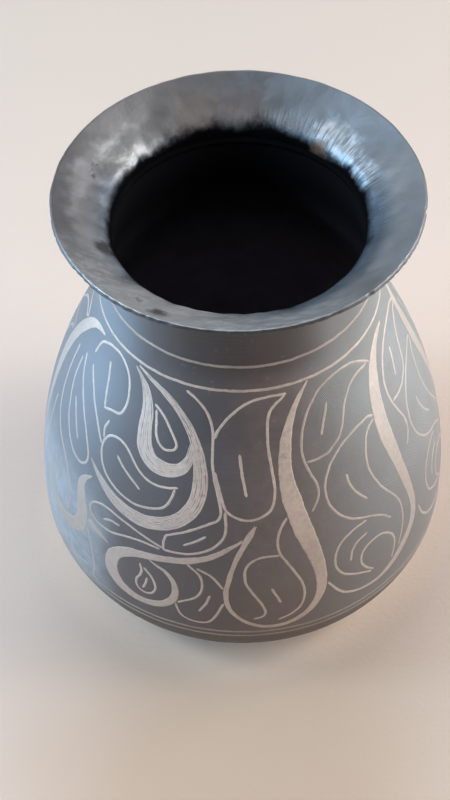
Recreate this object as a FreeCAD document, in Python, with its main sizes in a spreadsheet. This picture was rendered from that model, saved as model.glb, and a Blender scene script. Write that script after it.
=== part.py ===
import FreeCAD, Part
import math
import os
import Sketcher
from FreeCAD import Vector

# Small steel vase with silver wire laid on it, in millimetres.
# It stands on the table at height 0 with its axis on Z. Angle 0 is the front, towards -Y.

doc = FreeCAD.newDocument("vase")
sheet = doc.addObject("Spreadsheet::Sheet", "sizes")

SIZES = [
    # the outer form
    ("vase_height", 100.0),
    ("rim_radius", 35.0),
    ("throat_radius", 25.0),
    ("throat_height", 91.0),
    ("throat_bend", 3.5),
    ("neck_sweep", 51.0),
    ("belly_radius", 44.0),
    ("belly_height", 17.0),
    ("base_radius", 34.5),
    # sheet, disc and braze
    ("wall", 0.9),
    ("foot_land", 1.5),
    ("base_thickness", 1.0),
    ("rim_round", 0.25),
    ("base_round", 0.3),
    ("bead_height", 2.4),
    ("bead_depth", 0.3),
    ("fillet_leg", 2.4),
    ("fillet_rise", 1.1),
    # silver wire
    ("wire_width", 0.6),
    ("wire_rise", 0.18),
    ("ring_width", 0.65),
    ("seat_gap", 0.05),
    ("ring_gap", 0.1),
    ("lane_gap", 0.05),
    ("broad_width", 4.0),
    # where the rings run
    ("neck_ring_drop", 10.6),
    ("neck_ring_pitch", 5.2),
    ("foot_ring_height", 16.6),
    ("foot_ring_pitch", 1.7),
]
for row, (alias, number) in enumerate(SIZES, start=1):
    sheet.set("A%d" % row, alias)
    sheet.set("B%d" % row, str(number))
    sheet.setAlias("B%d" % row, alias)
doc.recompute()


def size(alias):
    return float(sheet.get(alias))


# Sketch helpers: every body is one section turned round the Z axis.

def start_body(label):
    body = doc.addObject("PartDesign::Body", label)
    body.Label = label
    sketch = body.newObject("Sketcher::SketchObject", label + "_section")
    plane = [item for item in body.Origin.OriginFeatures if item.Role == "XZ_Plane"][0]
    sketch.AttachmentSupport = (plane, [""])
    sketch.MapMode = "FlatFace"
    return body, sketch


def turn(body, sketch):
    doc.recompute()
    spin = body.newObject("PartDesign::Revolution", body.Name + "_turned")
    spin.Profile = sketch
    spin.ReferenceAxis = (sketch, ["V_Axis"])
    spin.Angle = 360.0
    sketch.Visibility = False
    doc.recompute()
    return spin


def line(sketch, start, end):
    return sketch.addGeometry(Part.LineSegment(Vector(*start), Vector(*end)), False)


def arc(sketch, centre, radius, start, end):
    circle = Part.Circle(Vector(centre[0], centre[1], 0), Vector(0, 0, 1), radius)
    first = math.atan2(start[1] - centre[1], start[0] - centre[0])
    last = math.atan2(end[1] - centre[1], end[0] - centre[0])
    if last <= first:
        last += 2 * math.pi
    return sketch.addGeometry(Part.ArcOfCircle(circle, first, last), False)


def rule(sketch, *parts):
    return sketch.addConstraint(Sketcher.Constraint(*parts))


def bind(sketch, name, formula, *parts):
    index = rule(sketch, *parts)
    sketch.renameConstraint(index, name)
    sketch.setExpression("Constraints." + name, formula)


# The bulb: foot arc, side arc and neck arc outside, the same three inside.

belly_r = size("belly_radius")
belly_z = size("belly_height")
base_r = size("base_radius")
base_t = size("base_thickness")
throat_r = size("throat_radius")
throat_z = size("throat_height")
neck_R = size("neck_sweep")
wall = size("wall")


def foot_radius(belly, base):
    return ((belly - base) ** 2 + (belly_z - base_t) ** 2) / (2 * (belly - base))


foot_out = foot_radius(belly_r, base_r)
foot_in = foot_radius(belly_r - wall, base_r - size("foot_land"))
neck_c = (throat_r + neck_R, throat_z)
reach = throat_r + neck_R - belly_r
side_R = (reach ** 2 + (throat_z - belly_z) ** 2 - neck_R ** 2) / (2 * (belly_r - throat_r))
side_c = (belly_r - side_R, belly_z)


def between(radius):
    share = radius / (neck_R + side_R)
    return (side_c[0] + (neck_c[0] - side_c[0]) * share, side_c[1] + (neck_c[1] - side_c[1]) * share)


bulb, bulb_sk = start_body("bulb_shell")
turn_out = between(side_R)
turn_in = between(side_R - wall)
foot_c = (belly_r - foot_out, belly_z)
foot_ci = (belly_r - wall - foot_in, belly_z)
a_out = arc(bulb_sk, foot_c, foot_out, (base_r, base_t), (belly_r, belly_z))
b_out = arc(bulb_sk, side_c, side_R, (belly_r, belly_z), turn_out)
c_out = arc(bulb_sk, neck_c, neck_R, (throat_r, throat_z), turn_out)
lip = line(bulb_sk, (throat_r, throat_z), (throat_r - wall, throat_z))
c_in = arc(bulb_sk, neck_c, neck_R + wall, (throat_r - wall, throat_z), turn_in)
b_in = arc(bulb_sk, side_c, side_R - wall, (belly_r - wall, belly_z), turn_in)
corner = (base_r - size("foot_land"), base_t)
climb_z = base_t + size("fillet_rise")
climb = (foot_ci[0] + math.sqrt(foot_in ** 2 - (belly_z - climb_z) ** 2), climb_z)
a_in = arc(bulb_sk, foot_ci, foot_in, climb, (belly_r - wall, belly_z))
a_low = arc(bulb_sk, foot_ci, foot_in, corner, climb)
land = line(bulb_sk, corner, (base_r, base_t))

rule(bulb_sk, "Tangent", a_out, 2, b_out, 1)
rule(bulb_sk, "Tangent", b_out, 2, c_out, 2)
rule(bulb_sk, "Coincident", c_out, 1, lip, 1)
rule(bulb_sk, "Coincident", lip, 2, c_in, 1)
rule(bulb_sk, "Tangent", c_in, 2, b_in, 2)
rule(bulb_sk, "Tangent", b_in, 1, a_in, 2)
rule(bulb_sk, "Coincident", a_low, 2, a_in, 1)
rule(bulb_sk, "Coincident", a_low, 3, a_in, 3)
rule(bulb_sk, "Coincident", a_low, 1, land, 1)
rule(bulb_sk, "Coincident", land, 2, a_out, 1)
rule(bulb_sk, "Coincident", b_out, 3, b_in, 3)
rule(bulb_sk, "Coincident", c_out, 3, c_in, 3)
rule(bulb_sk, "Horizontal", a_out, 3, b_out, 3)
rule(bulb_sk, "Horizontal", a_in, 3, b_out, 3)
rule(bulb_sk, "Horizontal", lip)
rule(bulb_sk, "Horizontal", c_out, 3, lip, 1)
rule(bulb_sk, "Horizontal", land)
bind(bulb_sk, "belly_height", "sizes.belly_height", "DistanceY", -1, 1, b_out, 3, belly_z)
bind(bulb_sk, "belly_radius", "sizes.belly_radius", "DistanceX", -1, 1, a_out, 2, belly_r)
bind(bulb_sk, "base_radius", "sizes.base_radius", "DistanceX", -1, 1, a_out, 1, base_r)
bind(bulb_sk, "base_height", "sizes.base_thickness", "DistanceY", -1, 1, a_out, 1, base_t)
climb_formula = "sizes.base_thickness + sizes.fillet_rise"
bind(bulb_sk, "climb", climb_formula, "DistanceY", -1, 1, a_in, 1, climb_z)
bind(bulb_sk, "foot_land", "sizes.foot_land", "DistanceX", land, 1, land, 2, size("foot_land"))
bind(bulb_sk, "throat_radius", "sizes.throat_radius", "DistanceX", -1, 1, lip, 1, throat_r)
bind(bulb_sk, "throat_height", "sizes.throat_height", "DistanceY", -1, 1, lip, 1, throat_z)
bind(bulb_sk, "neck_sweep", "sizes.neck_sweep", "Radius", c_out, neck_R)
bind(bulb_sk, "wall", "sizes.wall", "DistanceX", lip, 2, lip, 1, wall)
turn(bulb, bulb_sk)

# The outer skin, read back from the section that the bulb is turned from.

foot_arc = bulb_sk.Geometry[a_out]
side_arc = bulb_sk.Geometry[b_out]
neck_arc = bulb_sk.Geometry[c_out]
turn_height = side_arc.EndPoint.y


def skin_radius(height):
    if height < side_arc.Center.y:
        rise = height - foot_arc.Center.y
        return foot_arc.Center.x + math.sqrt(max(0.0, foot_arc.Radius ** 2 - rise ** 2))
    if height < turn_height:
        rise = height - side_arc.Center.y
        return side_arc.Center.x + math.sqrt(max(0.0, side_arc.Radius ** 2 - rise ** 2))
    rise = height - neck_arc.Center.y
    return neck_arc.Center.x - math.sqrt(max(0.0, neck_arc.Radius ** 2 - rise ** 2))


def skin_normal(height):
    # (outwards, upwards) at this height
    if height < side_arc.Center.y:
        middle, sign = foot_arc.Center, 1.0
    elif height < turn_height:
        middle, sign = side_arc.Center, 1.0
    else:
        middle, sign = neck_arc.Center, -1.0
    out = sign * (skin_radius(height) - middle.x)
    up = sign * (height - middle.y)
    length = math.hypot(out, up)
    return out / length, up / length


def on_skin(turned, height, lift):
    # turned in radians from the front, positive to the right as seen from the front
    out, up = skin_normal(height)
    radius = skin_radius(height) + lift * out
    return Vector(radius * math.sin(turned), -radius * math.cos(turned), height + lift * up)


# The trumpet mouth: a bend at the throat, then a straight lip with a square cut edge.

bend_R = size("throat_bend")
vase_h = size("vase_height")
rim_r = size("rim_radius")
bend_c = (throat_r + bend_R, throat_z)


def lip_top(slope):
    run = (rim_r - bend_c[0] + bend_R * math.sin(slope)) * math.tan(slope)
    return throat_z + (bend_R + wall) * math.cos(slope) + run


low, high = -1.4, 1.4
for step in range(60):
    middle = (low + high) / 2
    if lip_top(middle) < vase_h:
        low = middle
    else:
        high = middle
slope = (low + high) / 2
lean = (-math.sin(slope), math.cos(slope))
bend_end = (bend_c[0] + bend_R * lean[0], bend_c[1] + bend_R * lean[1])
rim_low = (rim_r, bend_end[1] + (rim_r - bend_end[0]) * math.tan(slope))
rim_top = (rim_low[0] + wall * lean[0], rim_low[1] + wall * lean[1])
bend_top = (bend_end[0] + wall * lean[0], bend_end[1] + wall * lean[1])

neck, neck_sk = start_body("flared_neck")
under_bend = arc(neck_sk, bend_c, bend_R, bend_end, (throat_r, throat_z))
under_lip = line(neck_sk, bend_end, rim_low)
edge = line(neck_sk, rim_low, rim_top)
top_lip = line(neck_sk, rim_top, bend_top)
top_bend = arc(neck_sk, bend_c, bend_R + wall, bend_top, (throat_r - wall, throat_z))
seam = line(neck_sk, (throat_r - wall, throat_z), (throat_r, throat_z))
rule(neck_sk, "Tangent", under_bend, 1, under_lip, 1)
rule(neck_sk, "Coincident", under_lip, 2, edge, 1)
rule(neck_sk, "Coincident", edge, 2, top_lip, 1)
rule(neck_sk, "Tangent", top_lip, 2, top_bend, 1)
rule(neck_sk, "Coincident", top_bend, 2, seam, 1)
rule(neck_sk, "Coincident", seam, 2, under_bend, 2)
rule(neck_sk, "Coincident", under_bend, 3, top_bend, 3)
rule(neck_sk, "Perpendicular", under_lip, edge)
rule(neck_sk, "Horizontal", seam)
rule(neck_sk, "Horizontal", under_bend, 3, seam, 2)
bind(neck_sk, "throat_bend", "sizes.throat_bend", "Radius", under_bend, bend_R)
bind(neck_sk, "wall", "sizes.wall", "DistanceX", seam, 1, seam, 2, wall)
bind(neck_sk, "throat_radius", "sizes.throat_radius", "DistanceX", -1, 1, seam, 2, throat_r)
bind(neck_sk, "throat_height", "sizes.throat_height", "DistanceY", -1, 1, seam, 2, throat_z)
bind(neck_sk, "rim_radius", "sizes.rim_radius", "DistanceX", -1, 1, edge, 1, rim_r)
bind(neck_sk, "vase_height", "sizes.vase_height", "DistanceY", -1, 1, edge, 2, vase_h)
neck_turned = turn(neck, neck_sk)


def round_edges(body, feature, alias, is_wanted):
    names = []
    for number, item in enumerate(feature.Shape.Edges, start=1):
        if isinstance(item.Curve, Part.Circle) and is_wanted(item.Curve.Radius, item.Curve.Center.z):
            names.append("Edge%d" % number)
    fillet = body.newObject("PartDesign::Fillet", body.Name + "_rounded")
    fillet.Base = (feature, names)
    fillet.Radius = size(alias)
    fillet.setExpression("Radius", "sizes." + alias)
    doc.recompute()


rim_width = max(rim_low[0], rim_top[0])
round_edges(neck, neck_turned, "rim_round", lambda radius, height: radius > rim_width - wall)

# The disc that closes the bulb from below.

disc, disc_sk = start_body("base_disc")
corners = [(0, 0), (base_r, 0), (base_r, base_t), (0, base_t)]
sides = [line(disc_sk, corners[i], corners[(i + 1) % 4]) for i in range(4)]
for i in range(4):
    rule(disc_sk, "Coincident", sides[i], 2, sides[(i + 1) % 4], 1)
rule(disc_sk, "Coincident", sides[0], 1, -1, 1)
rule(disc_sk, "Horizontal", sides[0])
rule(disc_sk, "Vertical", sides[1])
rule(disc_sk, "Horizontal", sides[2])
rule(disc_sk, "Vertical", sides[3])
bind(disc_sk, "base_radius", "sizes.base_radius", "DistanceX", sides[0], 1, sides[0], 2, base_r)
bind(disc_sk, "base_thickness", "sizes.base_thickness", "DistanceY", sides[1], 1, sides[1], 2, base_t)
disc_turned = turn(disc, disc_sk)
round_edges(disc, disc_turned, "base_round", lambda radius, height: height < 0.01)

# Braze inside: a fillet on the disc and a low bead over the throat seam.

braze, braze_sk = start_body("base_braze")
foot_arc_in = bulb_sk.Geometry[a_in]
hub = (foot_arc_in.Center.x, foot_arc_in.Center.y)
leg = size("fillet_leg")
floor_in = (corner[0] - leg, base_t)
flat = line(braze_sk, floor_in, corner)
rise_arc = arc(braze_sk, hub, foot_arc_in.Radius, corner, climb)
face = line(braze_sk, climb, floor_in)
rule(braze_sk, "Coincident", flat, 2, rise_arc, 1)
rule(braze_sk, "Coincident", rise_arc, 2, face, 1)
rule(braze_sk, "Coincident", face, 2, flat, 1)
rule(braze_sk, "Horizontal", flat)
bind(braze_sk, "height", "sizes.base_thickness", "DistanceY", -1, 1, flat, 1, base_t)
bind(braze_sk, "corner", "sizes.base_radius - sizes.foot_land", "DistanceX", -1, 1, flat, 2, corner[0])
bind(braze_sk, "leg", "sizes.fillet_leg", "DistanceX", flat, 1, flat, 2, leg)
bind(braze_sk, "centre", "sizes.belly_height", "DistanceY", -1, 1, rise_arc, 3, hub[1])
rule(braze_sk, "Radius", rise_arc, foot_arc_in.Radius)
bind(braze_sk, "climb", climb_formula, "DistanceY", -1, 1, rise_arc, 2, climb_z)
turn(braze, braze_sk)

bead, bead_sk = start_body("neck_braze")
bore = throat_r - wall
half = size("bead_height") / 2
below = (neck_c[0] - math.sqrt((neck_R + wall) ** 2 - half ** 2), throat_z - half)
over = half / 2
above = (bend_c[0] - math.sqrt((bend_R + wall) ** 2 - over ** 2), throat_z + over)
crown = (bore - size("bead_depth"), throat_z - half / 4)
under = arc(bead_sk, neck_c, neck_R + wall, (bore, throat_z), below)
upper = arc(bead_sk, bend_c, bend_R + wall, above, (bore, throat_z))
first = line(bead_sk, below, crown)
second = line(bead_sk, crown, above)
rule(bead_sk, "Coincident", upper, 2, under, 1)
rule(bead_sk, "Coincident", under, 2, first, 1)
rule(bead_sk, "Coincident", first, 2, second, 1)
rule(bead_sk, "Coincident", second, 2, upper, 1)
rule(bead_sk, "Horizontal", under, 3, under, 1)
rule(bead_sk, "Horizontal", upper, 3, under, 1)
bind(bead_sk, "bore", "sizes.throat_radius - sizes.wall", "DistanceX", -1, 1, under, 1, bore)
bind(bead_sk, "seam", "sizes.throat_height", "DistanceY", -1, 1, under, 1, throat_z)
bind(bead_sk, "sweep", "sizes.neck_sweep + sizes.wall", "Radius", under, neck_R + wall)
bind(bead_sk, "bend", "sizes.throat_bend + sizes.wall", "Radius", upper, bend_R + wall)
bind(bead_sk, "below", "sizes.bead_height / 2", "DistanceY", under, 2, under, 1, half)
bind(bead_sk, "above", "sizes.bead_height / 4", "DistanceY", under, 1, upper, 1, over)
bind(bead_sk, "crown_in", "sizes.bead_depth", "DistanceX", first, 2, under, 1, size("bead_depth"))
bind(bead_sk, "crown_down", "sizes.bead_height / 8", "DistanceY", first, 2, under, 1, half / 4)
turn(bead, bead_sk)

# Silver rings: a flat wire lying on the skin, turned all the way round.

upper_neck_z = throat_z - size("neck_ring_drop")
lower_neck_z = upper_neck_z - size("neck_ring_pitch")
upper_foot_z = size("foot_ring_height")
lower_foot_z = upper_foot_z - size("foot_ring_pitch")
RINGS = [
    ("upper_neck_ring", upper_neck_z),
    ("lower_neck_ring", lower_neck_z),
    ("upper_foot_ring", upper_foot_z),
    ("lower_foot_ring", lower_foot_z),
]
for label, height in RINGS:
    ring, ring_sk = start_body(label)
    out, up = skin_normal(height)
    along = (-up, out)
    wide = size("ring_width")
    tall = size("wire_rise")
    gap = size("ring_gap")
    seat = (skin_radius(height) + gap * out, height + gap * up)
    low_in = (seat[0] - along[0] * wide / 2, seat[1] - along[1] * wide / 2)
    top_in = (seat[0] + along[0] * wide / 2, seat[1] + along[1] * wide / 2)
    top_out = (top_in[0] + out * tall, top_in[1] + up * tall)
    low_out = (low_in[0] + out * tall, low_in[1] + up * tall)
    corners = [low_in, top_in, top_out, low_out]
    sides = [line(ring_sk, corners[i], corners[(i + 1) % 4]) for i in range(4)]
    for i in range(4):
        rule(ring_sk, "Coincident", sides[i], 2, sides[(i + 1) % 4], 1)
    rule(ring_sk, "Perpendicular", sides[0], sides[1])
    rule(ring_sk, "Parallel", sides[0], sides[2])
    rule(ring_sk, "Parallel", sides[1], sides[3])
    rule(ring_sk, "DistanceX", -1, 1, sides[0], 1, low_in[0])
    rule(ring_sk, "DistanceY", -1, 1, sides[0], 1, low_in[1])
    rule(ring_sk, "Angle", sides[0], math.atan2(along[1], along[0]))
    bind(ring_sk, "ring_width", "sizes.ring_width", "Distance", sides[0], wide)
    bind(ring_sk, "wire_rise", "sizes.wire_rise", "Distance", sides[1], tall)
    turn(ring, ring_sk)

# The wire drawing. Points are (degrees round from the front, height as drawn in millimetres).
# Heights are drawn for rings at 17 and 75 and are stretched to the rings of this vase.
# A broad stroke also has a width for each point, as tenths of the sheet's broad width.

DRAWN = (17.0, 75.0)
STRANDS = 4

FLAME_ARMS = [
    (-45.3, 73.5, 1), (-42.2, 72.4, 2.2), (-38.8, 70.4, 4.5), (-36.3, 67, 6.5), (-35.3, 63.2, 8),
    (-34, 60.4, 8.8), (-31.2, 58.5, 8.8), (-27.5, 57.7, 8.5), (-23.4, 57.9, 7.2), (-20.4, 59, 5.5),
    (-18.9, 61.1, 3.2), (-18.9, 63.4, 1.3),
]
FLAME_SWEEP = [
    (-43.8, 74.1, 1), (-38, 73.1, 2.2), (-32, 71.9, 3), (-27, 70.4, 3.5), (-23, 68.7, 3.8),
    (-19.3, 66.5, 4.2), (-16.6, 64, 4.8), (-14.9, 61, 6.3), (-14, 57, 7.5), (-14.7, 53, 7.8),
    (-17.2, 49.6, 8), (-21, 47, 8), (-26, 45.3, 8.2), (-32, 44.6, 8.4), (-38, 45.2, 7.5),
    (-43, 46.5, 6), (-48, 48.5, 3.8), (-52, 50.3, 1.3),
]
SNAIL_BAND = [
    (-2.4, 43.9, 1.5), (-5, 42.6, 2.6), (-8, 41, 3.2), (-12, 39.3, 3.8), (-17, 37.9, 4.2),
    (-22, 37, 4.3), (-28, 36, 4.8), (-33.5, 34.8, 5.8), (-38, 32.4, 7.2), (-40, 29, 8.4),
    (-39.5, 25.6, 8.6), (-37, 22.9, 7.8), (-33, 21.5, 6), (-28.5, 21.3, 5), (-24, 22.5, 4.8),
    (-21, 24.9, 4.5), (-19.8, 28, 3.9), (-20.6, 31.2, 3.2), (-22.8, 33.3, 2.2), (-25, 34.1, 1.5),
    (-27, 34.8, 1),
]
SNAIL_HORN = [
    (-51, 46.6, 1.2), (-53.2, 45, 3.6), (-54.3, 42.8, 5.8), (-53.7, 40.1, 7.6), (-52.7, 37.5, 8.6),
    (-52.3, 34.6, 9.2), (-53.2, 31.8, 9.2), (-56, 29.6, 8.6), (-60, 28.6, 8), (-64.5, 28.5, 7.4),
    (-68.5, 29.6, 6.4), (-71.2, 32.4, 5), (-72.4, 36, 3.4), (-72.8, 39.5, 1.6),
]
SNAIL_TAIL = [(-48.6, 35.4, 3.8), (-46.4, 34.7, 4), (-44, 34.1, 2.8), (-42.1, 33.6, 1.2)]
TALL_STEM_1 = [
    (25.1, 74.3, 1), (21.6, 72.3, 2.3), (18.6, 70.1, 3), (16, 67.5, 4), (14, 64.8, 5.5),
    (12.9, 61.5, 6.5), (12.6, 58.5, 7.3), (12.9, 55.5, 8.5), (13.9, 52, 9.5), (15.2, 48, 9.8),
    (16.7, 44, 9.7), (18.3, 40, 8.8), (19.6, 36, 7.5), (20.3, 32, 6.2), (20.3, 28.5, 5.7),
    (19.4, 25.7, 5), (17.9, 23.3, 4.2), (15.6, 21.1, 3.5), (12.5, 19.5, 3), (8.5, 18.6, 2.7),
    (4.5, 18.7, 2.5), (1, 19.8, 2.3), (-1.8, 21.5, 2.3), (-4.1, 23.8, 2.3), (-5.5, 26.5, 2.4),
    (-5.9, 29.5, 2.7), (-5.4, 33, 2.7), (-4.3, 36.7, 2.6), (-2.9, 40, 2.6), (-1.1, 43, 3),
    (0.7, 45.6, 3.4), (2.2, 47.6, 1.5),
]
TALL_STEM_2 = [
    (71, 72.6, 1.4), (66, 72.1, 3.2), (61, 70.7, 4.8), (56.7, 68.5, 6.4), (53.4, 65.8, 7.6),
    (51.3, 62.8, 8.6), (50.2, 59.5, 9.2), (50.1, 56, 9.3), (50.7, 52.5, 8.6), (51.5, 48.5, 7.2),
    (52.5, 44.5, 6.5), (53.5, 40.5, 5.6), (54.3, 37, 5), (54.5, 33.5, 5), (53.5, 30.3, 5.4),
    (51.3, 27.6, 5.7), (48.2, 25.2, 5.7), (44.6, 23, 5), (41, 21.6, 3.8), (37, 21, 2.3),
    (32.5, 21.4, 1.8), (28.5, 22.6, 1.7), (25.5, 24.7, 1.6), (22.5, 28.5, 1.3),
]
TALL_STEM_3 = [
    (111, 72.6, 1.4), (106, 72.1, 3.2), (101, 70.7, 4.8), (96.7, 68.5, 6.4), (93.4, 65.8, 7.6),
    (91.3, 62.8, 8.6), (90.2, 59.5, 9.2), (90.1, 56, 9.3), (90.7, 52.5, 8.6), (91.5, 48.5, 7.2),
    (92.5, 44.5, 6.5), (93.5, 40.5, 5.6), (94.3, 37, 5), (94.5, 33.5, 5), (93.5, 30.3, 5.4),
    (91.3, 27.6, 5.7), (88.2, 25.2, 5.7), (84.6, 23, 5), (81, 21.6, 3.8), (77, 21, 2.3),
    (72, 21.2, 1.8), (67, 22.2, 1.7), (62.5, 24.2, 1.7), (59.2, 27.2, 1.6), (57.4, 30.8, 1.5),
]

SHOULDER_LEAF = [
    [(54.9, 70.1), (50, 71.9), (45.5, 72.9), (40, 73.2), (35, 72.9), (30, 72), (26.2, 70.4), (23, 68.4),
     (20.5, 66), (19.1, 63.6), (18.7, 61.4), (19.3, 59.2), (20.4, 56.9), (21.7, 54.9), (22, 53),
     (21.3, 51.2), (19.6, 49.4)],
    [(52.4, 70.1), (49, 70.2), (45.5, 69.8), (41.5, 68.7), (38.3, 66.9), (36.2, 65), (34.5, 63.2),
     (32, 61.5), (29.5, 60.6), (27.6, 59.9), (25.8, 59.6), (23.2, 59.4), (20.7, 59.5)],
    [(30.9, 68.3), (29, 66.3), (26.9, 64.1)],
]
WAIST_LEAF = [
    [(46.7, 61.3), (45, 61.7), (42, 61.6), (38, 61.2), (34, 60.4), (30.3, 59.1), (27.3, 57.4),
     (25.2, 55.3), (24.2, 53), (24.3, 50.5), (25.3, 48.2), (27.3, 45.9), (30.3, 43.8), (34, 42.2),
     (38, 40.9), (41.5, 39.1), (44, 37.1)],
    [(46.4, 60.3), (44.5, 59.9), (42.7, 58.9), (41.2, 57.2), (40.1, 54.8), (39.9, 52.4), (40.7, 49.9),
     (42.2, 47.3), (44.4, 44.5), (46.8, 41.8), (48.6, 39), (49.3, 36), (49.2, 33), (48.4, 30.4),
     (46.9, 27.2)],
    [(31.9, 53.3), (32.4, 51.1), (34.2, 48.6), (36.7, 46.3)],
]
CURL_LEAF = [
    [(34.8, 40.8), (31.5, 40.5), (28.3, 39.5), (26, 37.9), (24.8, 35.6), (24.7, 33.2), (25.6, 31),
     (27.5, 29.2), (30.3, 27.7), (33.2, 26.5), (35.2, 25.7)],
    [(36.3, 26), (34.6, 27.3), (33.2, 29), (32.7, 31.2), (33.6, 33.1), (36, 34.3), (39, 34.6),
     (41.8, 33.8), (44, 32.1), (45.1, 29.9), (44.9, 27.6), (43.9, 25.1)],
    [(34.6, 37.4), (31.8, 36.6), (30, 35), (29.4, 32.9)],
]

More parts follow.
